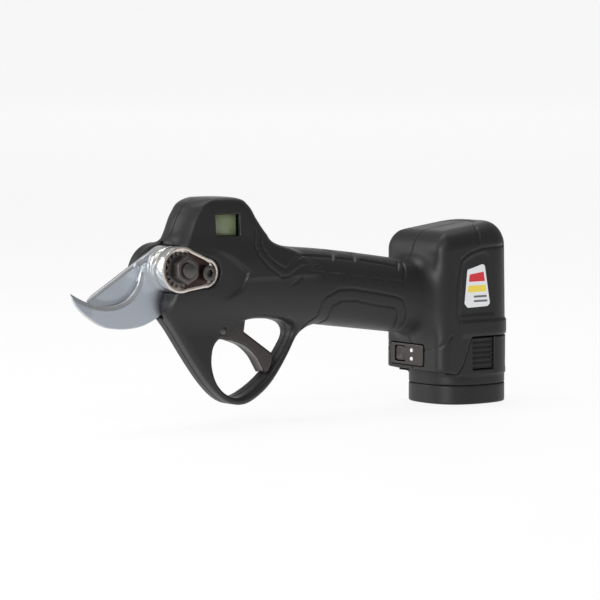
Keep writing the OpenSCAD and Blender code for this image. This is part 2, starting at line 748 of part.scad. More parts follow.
module output_carrier() color([0.56, 0.56, 0.58]) carrier_plate(carrier2_s0, carrier2_s1, 0);
module output_planet_pins() color("silver") planet_pins(carrier2_s0 + 0.2, stage2_s1 + 0.6);
module output_planet_a() color([0.62, 0.6, 0.56]) planet(0, stage2_s0, stage2_s1);
module output_planet_b() color([0.62, 0.6, 0.56]) planet(1, stage2_s0, stage2_s1);
module output_planet_c() color([0.62, 0.6, 0.56]) planet(2, stage2_s0, stage2_s1);
module output_sun() color([0.5, 0.5, 0.52]) {
    sun(stage2_s0, carrier1_s0 - 0.02);
}
module input_carrier() color([0.56, 0.56, 0.58]) {
    carrier_plate(carrier1_s0, carrier1_s1, 0);
    on_drive() bar(stage2_s0 + 0.3, carrier1_s0 + 0.1, motor_shaft_r);
}
module input_planet_pins() color("silver") planet_pins(carrier1_s0 + 0.2, stage1_s1 + 0.6);
module input_planet_a() color([0.62, 0.6, 0.56]) planet(0, stage1_s0, stage1_s1);
module input_planet_b() color([0.62, 0.6, 0.56]) planet(1, stage1_s0, stage1_s1);
module input_planet_c() color([0.62, 0.6, 0.56]) planet(2, stage1_s0, stage1_s1);
module input_sun() color([0.5, 0.5, 0.52]) sun(stage1_s0, stage1_s1 + 1.4);

module gearbox_case() color([0.58, 0.58, 0.6]) on_drive() {
    // toothed bore through both stages
    across(stage2_s0 - 0.4, stage1_s1 + 0.4) difference() {
        circle(r = case_r);
        polygon(gear_loop(ring_teeth, 1.1, 0.75, backlash));
    }
    tube(case_s0, stage2_s0 - 0.4, case_r, 12.6);
    tube(stage1_s1 + 0.4, case_s1, case_r, 13.4);
}

module output_bearing() color([0.7, 0.7, 0.72]) on_drive()
    tube(flange_s0 + 0.4, flange_s1 - 0.6, 9.5, output_shaft_r + run);

/* ---------- motor ---------- */

module motor_can() color([0.3, 0.3, 0.32]) on_drive() difference() {
    bar(motor_s0, motor_s1, case_r);
    bar(motor_s0 + 2.2, motor_s1 - 2.2, case_r - 1.2);
    bar(motor_s0 - 1, motor_s0 + 3, 3.5);
    bar(motor_s1 - 3, motor_s1 + 1, 3.5);
    for (i = [0:5]) rotate([60 * i, 0, 0]) translate([motor_s1 - 3, -1.6, 8]) cube([4, 3.2, 4]);
}

module motor_stator() color([0.66, 0.38, 0.2]) on_drive() difference() {
    bar(motor_s0 + 7, motor_s1 - 8, case_r - 1.25);
    bar(motor_s0 + 2, motor_s1 - 2, 7.9);
    for (i = [0:8]) rotate([40 * i, 0, 0]) translate([motor_s0 + 6, -1.3, 7]) cube([40, 2.6, 5]);
}

module motor_bearings() color([0.75, 0.75, 0.76]) on_drive() {
    tube(motor_s0 + 0.3, motor_s0 + 2.1, 3.45, motor_shaft_r + run);
    tube(motor_s1 - 2.1, motor_s1 - 0.3, 3.45, motor_shaft_r + run);
}

module motor_shaft() color("silver") on_drive() bar(stage1_s0 + 0.2, motor_s1 + 3, motor_shaft_r);

module rotor_magnets() color([0.35, 0.36, 0.4]) on_drive()
    tube(motor_s0 + 8, motor_s1 - 9, 7.3, motor_shaft_r + 0.02);

/* ---------- electronics ---------- */

board_s0 = 117;
board_s1 = 152;

module controller_board() color([0.1, 0.32, 0.18]) on_drive() {
    translate([board_s0, -5, -12]) cube([board_s1 - board_s0, 1.6, 24]);
    for (i = [0:2]) translate([board_s0 + 4 + 9 * i, -8.6, -9]) cube([6.5, 3.6, 9]);
    translate([board_s1 - 12, -3.4, 4]) rotate([-90, 0, 0]) cylinder(h = 8, r = 4);
}

module display_board() color([0.1, 0.32, 0.18]) at_pivot() {
    translate([display_x - 6.8, -9.6, display_z - 6.6]) cube([17.3, 1.4, 13.2]);
    translate([display_x - 6.8, -10.9, display_z - 4.9]) cube([14.2, 1.3, 9.8]);
}

module display_lens() color([0.55, 0.62, 0.45]) at_pivot()
    translate([display_x - display_w / 2 + 0.3, -12.1, display_z - display_h / 2 + 0.3])
        cube([display_w - 0.6, 1.1, display_h - 0.6]);

module contact_block() color([0.2, 0.2, 0.2]) {
    translate([-10, 3.4 - housing_half_w, tower_top + 2.6]) cube([20, 2 * housing_half_w - 6.8, 6]);
    for (y = [-8, 0, 8]) translate([-7, y - 0.5, tower_top + 0.3]) cube([14, 1, 2.5]);
}

module power_leads() color([0.7, 0.12, 0.1]) for (y = [-3.2, 3.2])
    translate([-10.2, y, 75.8]) rotate([0, -99, 0]) cylinder(h = 46, r = 1.1);

/* ---------- trigger ---------- */

trigger_outline = concat(
    smooth_run([[52, -24], [48.6, -26.4], [43, -28.6], [38, -31.6], [34, -31], [30, -33.2],
        [29.2, -37], [33, -39.6], [40, -41.4]], 4),
    smooth_run([[33, -39], [41.4, -41.2], [50.4, -44.6], [57.6, -50.4], [62, -57], [64, -60.2], [66.4, -62]], 4),
    [[66.6, -59.4], [68.8, -54.4], [69, -49.4]],
    [[49.6, -36.4], [50.6, -30]]
);

module trigger() color([0.13, 0.11, 0.11]) at_pivot() difference() {
    plate_y(-trigger_half_w, trigger_half_w) polygon(trigger_outline);
    translate([trigger_x, 0, trigger_z]) pin_y(-10, 10, 2 + run);
    translate([47.4, 0, -29.6]) pin_y(-10, -2.2, 1.55);
}

module trigger_magnet() color([0.6, 0.6, 0.62]) at_pivot()
    translate([47.4, 0, -29.6]) pin_y(-trigger_half_w + 0.1, -2.3, 1.5);

module trigger_pin() color("silver") at_pivot() translate([trigger_x, 0, trigger_z]) pin_y(-7.7, 6.5, 2);

module trigger_spring() color("silver") at_pivot() translate([53.6, 0, -25.3])
    for (i = [0:3]) translate([0, -3 + 2 * i, 0]) rotate([90, 0, 0])
        rotate_extrude() translate([1.5, 0]) circle(r = 0.45, $fn = 24);

module trigger_sensor() color([0.1, 0.32, 0.18]) at_pivot()
    translate([44, -7, -29.4]) cube([9, 1.2, 7.2]);

/* ---------- power switch ---------- */

switch_x = housing_front - 0.6;

module switch_bezel() color([0.2, 0.19, 0.2]) difference() {
    translate([switch_x, bezel_y - 14, bezel_z - 6]) cube([4.2, 28, 12]);
    translate([switch_x - 1, bezel_y + 1.4, bezel_z - 4.6]) cube([10, 9.4, 9.2]);
    for (z = [-2.4, 2.4]) translate([switch_x - 1, bezel_y - 4.2, bezel_z + z])
        rotate([0, 90, 0]) cylinder(h = 10, r = 1.25);
}

module power_button() color([0.14, 0.13, 0.13])
    translate([switch_x + 0.5, bezel_y + 1.7, bezel_z - 4.3]) cube([5.4, 8.8, 8.6]);

module status_leds() color("white") for (z = [-2.4, 2.4])
    translate([switch_x - 0.3, bezel_y - 4.2, bezel_z + z]) {
        rotate([0, 90, 0]) cylinder(h = 4, r = 1.2);
    }

module rating_label() color([0.95, 0.95, 0.96])
    translate([-16.2, -housing_half_w + 0.1, 55.5]) cube([18.5, 0.35, 25.5]);

/* ---------- battery ---------- */

foot_n = 56;
function foot_loop(g) = [for (i = [0:foot_n - 1]) let(a = 360 * i / foot_n)
    [(foot_half_l - g) * power(cos(a), 2.6), (foot_half_w - g) * power(sin(a), 2.6)]];

cap_h = 11;
tower = 41.6;
tower_top = 72;
cap_screw_x = 20.8;

module tower_plan(g) {
    r = 10.6;
    for (s = [-1, 1]) {
        square([tower - 2 * g, tower - 2 * r], center = true);
        square([tower - 2 * r, tower - 2 * g], center = true);
        for (t = [-1, 1]) translate([s, t] * (tower / 2 - r)) circle(r = r - g);
    }
}

module battery_bottom_cap() color([0.17, 0.17, 0.18]) difference() {
    linear_extrude(cap_h) polygon(foot_loop(0));
    translate([0, 0, 2.4]) linear_extrude(cap_h) polygon(foot_loop(2.2));
    for (x = [-cap_screw_x, cap_screw_x]) translate([x, 0, -1]) {
        cylinder(h = 5, r = 1.5);
        cylinder(h = 2.4, r = 3);
    }
}

latch_x0 = -12.2;
latch_x1 = 6.2;

module battery_case() color([0.15, 0.15, 0.16]) {
    difference() {
        union() {
            translate([0, 0, cap_h + 0.05]) linear_extrude(housing_low - cap_h - 0.5)
                polygon(foot_loop(0));
            // rear and sides of the waist, flush with the housing above it
            intersection() {
                translate([0, 0, 18]) linear_extrude(20.6) polygon(housing_plan(0.3));
                translate([gap, 0, -gap]) plate_y(-60, 60) polygon(skirt_notch);
            }
            translate([0, 0, cap_h + 0.05]) linear_extrude(tower_top - cap_h - 0.05) tower_plan(0);
        }
        translate([0, 0, -1]) linear_extrude(tower_top - 1.4) tower_plan(1.9);
        // windows for the contacts
        for (y = [-8, 0, 8]) translate([-8, y - 1, tower_top - 4]) cube([16, 2, 10]);
        // pockets for the latches
        for (s = [-1, 1]) translate([latch_x0 + 2, s > 0 ? 20.9 : -40.9, 19.8])
            cube([latch_x1 - latch_x0 - 2, 20, 24]);
    }
    // posts for the screws of the bottom cap
    for (s = [-1, 1]) translate([s * cap_screw_x, 0, 2.6]) difference() {
        cylinder(h = 12, r = 2.7);
        translate([0, 0, -1]) cylinder(h = 9, r = 1.25);
        translate([-s * cap_screw_x, 0, -1]) cylinder(h = 20, r = 18.9);
    }
}

module battery_cells() color([0.2, 0.45, 0.3]) for (x = [-1, 1], y = [-1, 1])
    translate([x * 9.3, y * 9.3, 3.2]) cylinder(h = cell_l, r = cell_d / 2);

module battery_board() color([0.1, 0.32, 0.18])
    translate([-16, -16, 3 + cell_l + 0.4]) cube([32, 32, 0.8]);

module battery_screws() color("silver") for (x = [-cap_screw_x, cap_screw_x]) translate([x, 0, 0.2]) {
    difference() {
        cylinder(h = 1.1, r = 2.6);
        translate([0, 0, -0.1]) cylinder(h = 0.8, r = 1.2, $fn = 6);
    }
    translate([0, 0, 1]) cylinder(h = 8, r = 1.2);
}

// grip panel of a latch: a plate with cross ribs, on the side s
module latch(s) color([0.13, 0.13, 0.14]) {
    length = latch_x1 - latch_x0 - 2.6;
    translate([latch_x0 + 2.3, s > 0 ? 22.1 : -24, 20.1]) cube([length, 1.9, 18.2]);
    for (i = [0:5]) translate([latch_x0 + 2.3, s > 0 ? 23.9 : -25.9, 20.8 + 3.2 * i])
        cube([length, 2, 1.5]);
}

module latch_left() latch(-1);
module latch_right() latch(1);

module latch_springs() color("silver") for (s = [-1, 1])
    translate([-1.8, s * 21.05, 29]) cube([10, 0.22, 5], center = true);

left_shell();
right_shell();
shell_screws();
head_frame();
fixed_blade();
fixed_blade_screws();
pivot_bolt();
pivot_bush();
thrust_washer();
toothed_washer();
pivot_nut();
lock_plate();
lock_screw();
output_bearing();
gearbox_case();
motor_can();
motor_stator();
motor_bearings();
controller_board();
display_board();
display_lens();
trigger_pin();
trigger_spring();
trigger_sensor();
switch_bezel();
status_leds();
contact_block();
power_leads();
rating_label();
moving_blade();
bevel_sector();
blade_rivets();
output_carrier();
bevel_pinion();
output_planet_pins();
output_planet_a();
output_planet_b();
output_planet_c();
input_carrier();
output_sun();
input_planet_pins();
input_planet_a();
input_planet_b();
input_planet_c();
motor_shaft();
rotor_magnets();
input_sun();
trigger();
trigger_magnet();
power_button();
battery_case();
battery_bottom_cap();
battery_cells();
battery_board();
battery_screws();
latch_left();
latch_right();
latch_springs();
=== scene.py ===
"""Looks of a battery electric pruner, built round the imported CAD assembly.

The shells, blades, trigger and battery skin are sculpted from signed distance fields: each shape is a
function of x, y, z in millimetres from the blade pivot, and sculpt() turns it into a mesh.
"""

import json
import math

import bpy
import numpy as np
import openvdb
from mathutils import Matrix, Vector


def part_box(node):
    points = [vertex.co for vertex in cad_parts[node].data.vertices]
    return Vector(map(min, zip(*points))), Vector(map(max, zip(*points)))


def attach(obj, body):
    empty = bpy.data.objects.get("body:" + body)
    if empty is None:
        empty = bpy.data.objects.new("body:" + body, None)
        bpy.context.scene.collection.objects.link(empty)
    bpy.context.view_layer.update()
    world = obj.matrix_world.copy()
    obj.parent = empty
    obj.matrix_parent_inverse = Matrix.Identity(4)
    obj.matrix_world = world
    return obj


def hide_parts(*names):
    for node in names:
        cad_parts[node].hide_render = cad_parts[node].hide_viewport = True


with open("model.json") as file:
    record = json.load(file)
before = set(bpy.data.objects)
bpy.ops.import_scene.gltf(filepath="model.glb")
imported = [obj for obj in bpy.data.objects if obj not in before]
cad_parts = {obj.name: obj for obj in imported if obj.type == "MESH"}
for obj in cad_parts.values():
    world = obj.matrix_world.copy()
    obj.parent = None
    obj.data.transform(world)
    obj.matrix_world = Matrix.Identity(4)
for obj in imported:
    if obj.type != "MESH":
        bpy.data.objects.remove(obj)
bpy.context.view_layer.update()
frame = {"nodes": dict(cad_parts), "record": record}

# ---------- places taken from the frame ----------

MM = 1000.0


def mm_box(node):
    """Lowest and highest corner of a CAD node, in millimetres from the blade pivot."""
    low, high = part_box(node)
    return (np.array(low) - PIVOT) * MM, (np.array(high) - PIVOT) * MM


bolt_low, bolt_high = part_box("pivot_bolt")
PIVOT = np.array([(bolt_low.x + bolt_high.x) / 2, 0, (bolt_low.z + bolt_high.z) / 2])
FOOT_Z = -PIVOT[2] * MM
FOOT_X = -PIVOT[0] * MM
TILT = math.radians(7.8)

# radius of the pivot boss and of the round heels of both blades
BOSS_R = 12.4
# near and far face of each blade
HOOK_Y = (-2.0, 1.0)
BLADE_Y = (1.05, 3.85)
# wall of the shells, and half the width of the trigger guard at its front and rear limb
WALL = 2.4
GUARD_HALF_W = 7.8
GUARD_REAR_SHARE = 0.76
# rear housing; its back leans in by the draft
HOUSING_HALF_W = 26.0
HOUSING_FRONT = FOOT_X - 33.6
HOUSING_BACK = FOOT_X + 24.5
HOUSING_LOW = FOOT_Z + 20
HOUSING_TOP = FOOT_Z + 103.0
HOUSING_LEAN = 0.13
HOUSING_DRAFT = 0.02
FRONT_CORNER = 7.0
REAR_CORNER = 18.0
# where the trigger turns, as x and z from the pivot
TRIGGER_PIN = (33, -35)
TRIGGER_PIN_HOLE = 2.05


# ---------- distance fields ----------


def curve_table(points, steps=12):
    """A smooth run through (key, value) points, as two arrays for interpolation."""
    keys, values = np.array(points, float).T
    slopes = np.gradient(values, keys)
    spans = zip(keys, keys[1:])
    fine = np.concatenate([np.linspace(a, b, steps, endpoint=False) for a, b in spans])
    fine = np.append(fine, keys[-1])
    i = np.clip(np.searchsorted(keys, fine, side="right") - 1, 0, len(keys) - 2)
    h = keys[i + 1] - keys[i]
    t = (fine - keys[i]) / h
    value = (
        (2 * t**3 - 3 * t**2 + 1) * values[i]
        + (t**3 - 2 * t**2 + t) * h * slopes[i]
        + (3 * t**2 - 2 * t**3) * values[i + 1]
        + (t**3 - t**2) * h * slopes[i + 1]
    )
    return fine, value


def along(key, table):
    """The value of a fine table at each key."""
    return np.interp(key, *table).astype(np.float32)


def smooth_line(points, steps=6, closed=False):
    """Catmull-Rom curve through points in a plane."""
    p = np.array(points, float)
    if closed:
        p = np.concatenate([p[-1:], p, p[:2]])
    else:
        p = np.concatenate([2 * p[:1] - p[1:2], p, 2 * p[-1:] - p[-2:-1]])
    out = []
    for a, b, c, d in zip(p, p[1:], p[2:], p[3:]):
        for t in np.arange(steps) / steps:
            square, cube = 2 * a - 5 * b + 4 * c - d, 3 * b - a - 3 * c + d
            out.append(0.5 * (2 * b + (c - a) * t + square * t * t + cube * t**3))
    if not closed:
        out.append(p[-2])
    return np.array(out)


def to_line(u, v, points, closed=False):
    """Distance from (u, v) to a line of points."""
    p = np.array(points, float)
    ends = np.roll(p, -1, axis=0) if closed else p[1:]
    best = None
    for a, b in zip(p, ends):
        e = b - a
        t = np.clip(((u - a[0]) * e[0] + (v - a[1]) * e[1]) / max(e @ e, 1e-9), 0, 1)
        d = (u - a[0] - t * e[0]) ** 2 + (v - a[1] - t * e[1]) ** 2
        best = d if best is None else np.minimum(best, d)
    return np.sqrt(best)


def polygon(u, v, points):
    """Signed distance to a closed outline."""
    p = np.array(points, float)
    inside = np.zeros(np.broadcast(u, v).shape, bool)
    for a, b in zip(p, np.roll(p, -1, axis=0)):
        if a[1] == b[1]:
            continue
        crossing = a[0] + (v - a[1]) / (b[1] - a[1]) * (b[0] - a[0])
        inside ^= ((a[1] <= v) != (b[1] <= v)) & (u < crossing)
    return np.where(inside, -1, 1) * to_line(u, v, p, closed=True)


def disc(u, v, radius, at=(0, 0)):
    """Distance to a circle."""
    return np.hypot(u - at[0], v - at[1]) - radius


def oval(u, v, half_u, half_v, power):
    """Close to the distance from a superellipse."""
    r = ((np.abs(u) / half_u) ** power + (np.abs(v) / half_v) ** power) ** (1 / power)
    return (r - 1) * np.minimum(half_u, half_v)


def join(a, b, k):
    """Union with a fillet of about k."""
    h = np.maximum(k - np.abs(a - b), 0) / k
    return np.minimum(a, b) - h * h * k / 4


def common(a, b, k):
    """Intersection with a round edge of about k."""
    return -join(-a, -b, k)


def cut(a, b, k=0.4):
    """a without b, with an edge of about k."""
    return common(a, -b, k)


def band(t, low, high):
    """Distance to the slab between low and high."""
    return np.maximum(low - t, t - high)


def round_common(a, b, r):
    """Intersection whose edge is rounded to a true radius."""
    return np.minimum(np.maximum(a, b), -r) + np.hypot(np.maximum(a + r, 0), np.maximum(b + r, 0))


def block(flat, t, low, high, edge):
    """An outline pulled from low to high, with a round edge."""
    return round_common(flat, band(t, low, high), edge)


def along_drive(x, z):
    """Station and height of a point in the tilted frame of the handle."""
    return x * math.cos(TILT) - z * math.sin(TILT), x * math.sin(TILT) + z * math.cos(TILT)


def groove(distance, half_width, depth):
    """How far a surface sinks at this distance from a line."""
    return depth * np.clip(1.3 * (1 - distance / half_width), 0, 1)


def sculpt(name, field, low, high, step):
    """Meshes the zero surface of field between two corners, then pulls each point onto it."""
    low = np.array(low, float)
    axes = [np.arange(a, b + step, step, dtype=np.float32) for a, b in zip(low, high)]
    x, y, z = axes[0][:, None, None], axes[1][None, :, None], axes[2][None, None, :]
    reach = 3 * step
    values = np.broadcast_to(field(x, y, z), [len(a) for a in axes])
    grid = openvdb.FloatGrid(reach)
    grid.copyFromArray(np.clip(values, -reach, reach).astype(np.float32))
    points, _, quads = grid.convertToPolygons(isovalue=0, adaptivity=0)
    points = points.astype(float) * step + low
    for _ in range(2):
        here = field(*points.T)
        d = 0.15 * step
        sides = [field(*(points + d * axis).T) - field(*(points - d * axis).T) for axis in np.eye(3)]
        slope = np.stack([side / (2 * d) for side in sides], axis=1)
        size = np.maximum((slope**2).sum(1), 0.2)
        points -= np.clip(here / size, -0.4 * step, 0.4 * step)[:, None] * slope
    mesh = bpy.data.meshes.new(name)
    mesh.from_pydata((points / MM + PIVOT).tolist(), [], quads[:, ::-1].tolist())
    mesh.update()
    mesh.shade_smooth()
    piece = bpy.data.objects.new(name, mesh)
    bpy.context.scene.collection.objects.link(piece)
    return piece


# ---------- shells ----------

# The handle: top edge, half width and squareness of its cross section along x
CORE_END = 182
REAR_TOP = 7.3 - (CORE_END - 100) * math.tan(TILT)
CORE_TOP = curve_table([(-3, 15), (30, 16), (60, 12.6), (80, 9.2), (100, 7.3), (CORE_END, REAR_TOP)])
CORE_HALF_W = curve_table(
    [(-3, 12.8), (10, 14.6), (22, 17.4), (32, 18.2), (60, 18.7), (90, 19), (CORE_END, 19)]
)
CORE_POWER = curve_table([(-3, 3.2), (30, 3.2), (75, 2.5), (CORE_END, 2.4)])
CORE_FRONT = -0.7
# The hood: front, back and half width at each height
HUMP_FRONT = curve_table(
    [(-8, 1), (0, 1), (12, 1.6), (14.8, 2.4), (20.7, 4.8), (30, 9.4), (34.5, 13.3), (36, 16), (38.4, 22)]
)
HUMP_BACK = curve_table(
    [(-8, 93), (0, 87), (8.6, 75), (11, 67), (17.3, 60), (25.7, 53.5), (33.6, 48), (36.8, 44), (38.4, 39)]
)
HUMP_HALF_W = curve_table([(-8, 17.4), (12, 16.6), (24, 16), (33, 15.2), (38.4, 13.6)])
HUMP_TOP = 37.5
# half width of the front face, how fast the sides spread behind it, and how the face bows
HUMP_NOSE = 13.2
HUMP_SPREAD = 0.15
HUMP_BOW = 0.024
# Side outline of the trigger guard and of its finger hole
GUARD_OUTER = smooth_line(
    [
        (-0.7, -16), (-0.6, -27), (11.4, -46), (25.7, -64.5), (37, -74), (47.5, -76.4), (57, -73.4),
        (67.5, -66), (77.5, -54), (85.5, -41), (90, -28), (70, -18), (35, -10),
    ],
    closed=True,
)  # fmt: skip
GUARD_HOLE = smooth_line(
    [
        (27.2, -45), (26.6, -54), (30, -63.6), (37.5, -70.4), (47.5, -71.6), (63.8, -62.2),
        (76.2, -48), (81.6, -37.5), (76, -32), (56, -29.3), (44.5, -31.2), (36.3, -37.6), (30.5, -40.3),
    ],
    closed=True,
)  # fmt: skip


def core(x, y, z, g):
    """The handle, shrunk by g."""
    top = along(x, CORE_TOP)
    low = -22 - 0.132 * x
    middle, half_h = (top + low) / 2, (top - low) / 2
    side = oval(y, z - middle, along(x, CORE_HALF_W) - g, half_h - g, along(x, CORE_POWER))
    return common(side, np.maximum(CORE_FRONT + g - x, x - CORE_END), 3)


def hump(x, y, z, g):
    """The hood: a narrow, slightly curved front face with sharp creases and sides that spread rearwards."""
    lead = x - along(z, HUMP_FRONT) - g
    back = x - along(z, HUMP_BACK) + g
    nose = (HUMP_BOW * y**2 - lead) * 0.92
    behind_crease = lead - HUMP_BOW * HUMP_NOSE**2
    slanted = (np.abs(y) - HUMP_NOSE + g - HUMP_SPREAD * behind_crease) / math.hypot(1, HUMP_SPREAD)
    side = common(slanted, np.abs(y) - along(z, HUMP_HALF_W) + g, 3)
    form = common(np.maximum(common(nose, side, 0.9), -4 - z), back, 10)
    return common(form, z - HUMP_TOP + g, 3)


def rounded_plan(x, y, g, draft=0):
    """Plan of the battery housing: small front corners and large rear ones."""
    middle = (HOUSING_FRONT + HOUSING_BACK) / 2
    radius = np.where(x > middle, REAR_CORNER, FRONT_CORNER) - g
    u = np.abs(x - middle) - (HOUSING_BACK - HOUSING_FRONT) / 2 + g + radius + draft
    v = np.abs(y) - HOUSING_HALF_W + g + radius
    return np.minimum(np.maximum(u, v), 0) + np.hypot(np.maximum(u, 0), np.maximum(v, 0)) - radius


def housing(x, y, z, g, low):
    """The rear housing, shrunk by g: its top rises to the rear and its back leans in a little."""
    top = (z - HOUSING_TOP - HOUSING_LEAN * (x - FOOT_X)) / math.hypot(1, HOUSING_LEAN) + g
    plan = rounded_plan(x, y, g, HOUSING_DRAFT * np.where(x > FOOT_X, 1, 0) * (z - HOUSING_LOW))
    edge = 11 + 4 * np.clip((x - FOOT_X) / 18, 0, 1)
    return common(round_common(plan, top, edge), low - z, 1.0)


def outside(x, y, z):
    """Outer form of both shells together, before grooves and openings."""
    handle = join(core(x, y, z, 0), hump(x, y, z, 0), 5)
    half_w = GUARD_HALF_W * np.interp(x, (45, 85), (1, GUARD_REAR_SHARE)).astype(np.float32)
    guard = round_common(polygon(x, z, GUARD_OUTER), np.abs(y) - half_w, 3.2)
    body = round_common(join(handle, guard, 11), -polygon(x, z, GUARD_HOLE), 2.8)
    low = HOUSING_LOW - 2.2 * np.clip((x - HOUSING_FRONT - 2) / 10, 0, 1)
    return join(body, housing(x, y, z, 0, low), 9)


def inside(x, y, z):
    """The hollow of the shells, less the posts that hold the screws."""
    handle = np.minimum(core(x, y, z, WALL), hump(x, y, z, WALL))
    hollow = np.minimum(handle, housing(x, y, z, WALL, HOUSING_LOW - 9))
    for place in SCREWS:
        hollow = np.maximum(hollow, -disc(x, z, POST_R, place))
    return hollow


# Grooves pressed into both sides of the handle: station and height along the drive line
RAIL = [
    (45.6, 27), (45.8, 17), (48.6, 12.3), (56.3, 6.5), (64.9, 2.4), (69.5, 3.4), (77.6, 9.1), (85.6, 10.9),
    (92, 11),
]  # fmt: skip
PAD = [
    [(49.8, 25), (50.4, 17.3), (55.4, 11.9), (61.9, 8.7), (67.2, 7), (69.4, 8.6), (73.6, 13.1), (80, 15.5),
     (101.5, 16.4)],
    [(106, 16.3), (117, 16.4)],
    [(123, 16.8), (138, 16.5), (148.5, 15.6)],
    [(101, 22), (104.9, 18.5), (102.1, 15.1)],
    [(105, 22), (107.3, 18.7)],
    [(117.5, 22), (121.2, 19.9), (118.4, 16)],
    [(121, 22), (123.4, 19.1)],
    [(151.7, 17.7), (149.3, 14.3)],
    [(155.9, 18.1), (153.5, 11.7), (152.3, 9.3)],
]  # fmt: skip
TICKS = [[(69.6, 2.9), (79, 8.9)], [(72.8, -1.2), (79.1, 3.8)]]
TICKS += [[(s, 7.5), (s + 9.4, 7.6), (s + 9.4, 5.4)] for s in (85, 99.3, 113.6, 127.9, 142.2)]
PANEL = [
    [
        (91, -24), (93, -20), (95.8, -17), (95.8, -12.5), (95.3, -8.2), (97.6, -5.6), (101.4, -3.1),
        (105.9, -0.4), (117, 0.6), (131, 0.2), (146.7, -0.7), (152.1, -1.9), (155.2, -5.9), (158.7, -13.5),
        (160, -24),
    ],
    [
        (101.5, -24), (104.4, -17.6), (102.8, -12), (104, -9.6), (109.3, -6.3), (118.5, -5.5), (132.5, -6.5),
        (148.2, -7.1), (150, -9), (154.2, -17), (156, -24),
    ],
]  # fmt: skip


def handle_grooves(x, y, z):
    """How far the handle sinks at its grooves, on both sides."""
    s, h = along_drive(x, z)
    sink = 0
    for line in [RAIL, *PAD, *PANEL]:
        sink = np.maximum(sink, groove(to_line(s, h, line), 0.8, 0.65))
    for line in TICKS:
        sink = np.maximum(sink, groove(to_line(s, h, line), 0.65, 0.45))
    return sink * np.clip((np.abs(y) - 3) / 2, 0, 1)


# Lines and the sunk label field on the rear housing: x and z from the pivot
FIELD = [
    (186.9, -33.5), (188.2, -10.2), (189.3, -3.4), (192, -1.8), (198, 0.8), (204.8, 2), (207.9, 1),
    (208.6, -0.8), (211, -16.9), (212.7, -33.5),
]  # fmt: skip
OUTER_LINE = [
    (187.3, -36.5), (184.5, -30.5), (184.5, -18.5), (186, -10.1), (186.7, -6.7), (188.2, -1.7), (194.2, 2.1),
    (204, 4.6), (222.8, 5.4),
]  # fmt: skip
SIDE_LINE = [(174.8, -50.7), (180.9, -45.1)]
# x and y of the seam over the top of the housing, y and z of the lines beside the switch
TOP_SEAM = smooth_line([(214.4, 10), (214.4, 0), (211, -10), (203.8, -19.3), (202, -24.8), (197.3, -28)], 4)
SWITCH_LINES = [[(26.3, -51.6), (18.6, -55.1)], [(-8.6, -53.6), (-16.7, -52.6), (-26.5, -49.9)]]
# upper and lower height of the raised lip, and where it starts
LIP = (-36.6, -46.5)
LIP_FRONT = 187.5


def housing_details(x, y, z):
    """How far the rear housing sinks at its lines and label field, and swells at its lip."""
    near = np.clip((-y - 22) / 1.5, 0, 1)
    both = np.clip((np.abs(y) - 22) / 1.5, 0, 1)
    field = 0.5 * np.clip(0.5 - polygon(x, z, FIELD) / 0.7, 0, 1)
    sink = near * np.maximum(field, groove(to_line(x, z, OUTER_LINE), 0.95, 0.6))
    sink = np.maximum(sink, both * groove(to_line(x, z, SIDE_LINE), 0.95, 0.6))
    seam = groove(to_line(x, -np.abs(y), TOP_SEAM), 0.9, 0.55) * np.clip((z - 7) / 2, 0, 1)
    front = np.clip((HOUSING_FRONT + 3 - x) / 1.5, 0, 1)
    for line in SWITCH_LINES:
        sink = np.maximum(sink, front * groove(to_line(y, z, line), 0.7, 0.5))
    lip = np.clip((LIP[0] - z) / 0.8, 0, 1) * np.clip((z - LIP[1]) / 2, 0, 1)
    swell = 0.8 * lip * np.clip((x - LIP_FRONT) / 1.2, 0, 1)
    return np.maximum(sink, seam) - swell


# Field round the pivot boss, openings of the shells and places of the shell screws, as x and z
SHIELD = [(-5, 14.5), (16, 12.2), (31, 5.5), (42.5, -3), (38.5, -12), (20, -21.5), (4, -22.5), (-5, -10)]
SHIELD_Y = -17.1
TRIGGER_SLOT = [(27, -35.5), (33, -28), (46, -21), (58, -21), (60, -31), (59, -40), (36, -48), (28, -42)]
SKIRT_NOTCH = [(-10.7, 39), (-17.8, 22.6), (-23, 17), (-23, -5), (60, -5), (60, 39)]
HOOK_ROOM = [(-20, -40), (-2, -27), (4.4, -21), (4.4, 0), (-20, 0)]
BLADE_ROOM = [(-20, -40), (-2, -27), (4.4, -21), (4.4, 0), (5.4, 12.4), (0, 14.6), (-20, 20)]
# x and z of the middle of the lock plate, from the pivot
LOCK = (16.5, -2.3)
LOCK_R = 8.0
POST_R = 4.2
HEAD_HOLE_R = 3.1
# rooms round the bevel sector, the gearbox with the motor, the pinion and the bolt head
SECTOR_R = 21.8
SECTOR_HUB_R = 11.5
SECTOR_Y = (3.8, 12.3)
SECTOR_ANGLES = (-81, 68)
GEARBOX_R = 15.6
PINION_R = 9.5
BOLT_HEAD_R = 7.4
SCREWS = [(12.5, -40), (84, -31.5), (20, 28.5), (50, 13.5), (112, -15), (163, -9), (158, -33), (205, 6.5)]


def boss_flat(x, z, d):
    """Outline of the pivot boss and its tail, grown by d."""
    t = np.clip((x * LOCK[0] + z * LOCK[1]) / (LOCK[0] ** 2 + LOCK[1] ** 2), 0, 1)
    return np.hypot(x - t * LOCK[0], z - t * LOCK[1]) - (BOSS_R + (LOCK_R - BOSS_R) * t) - d


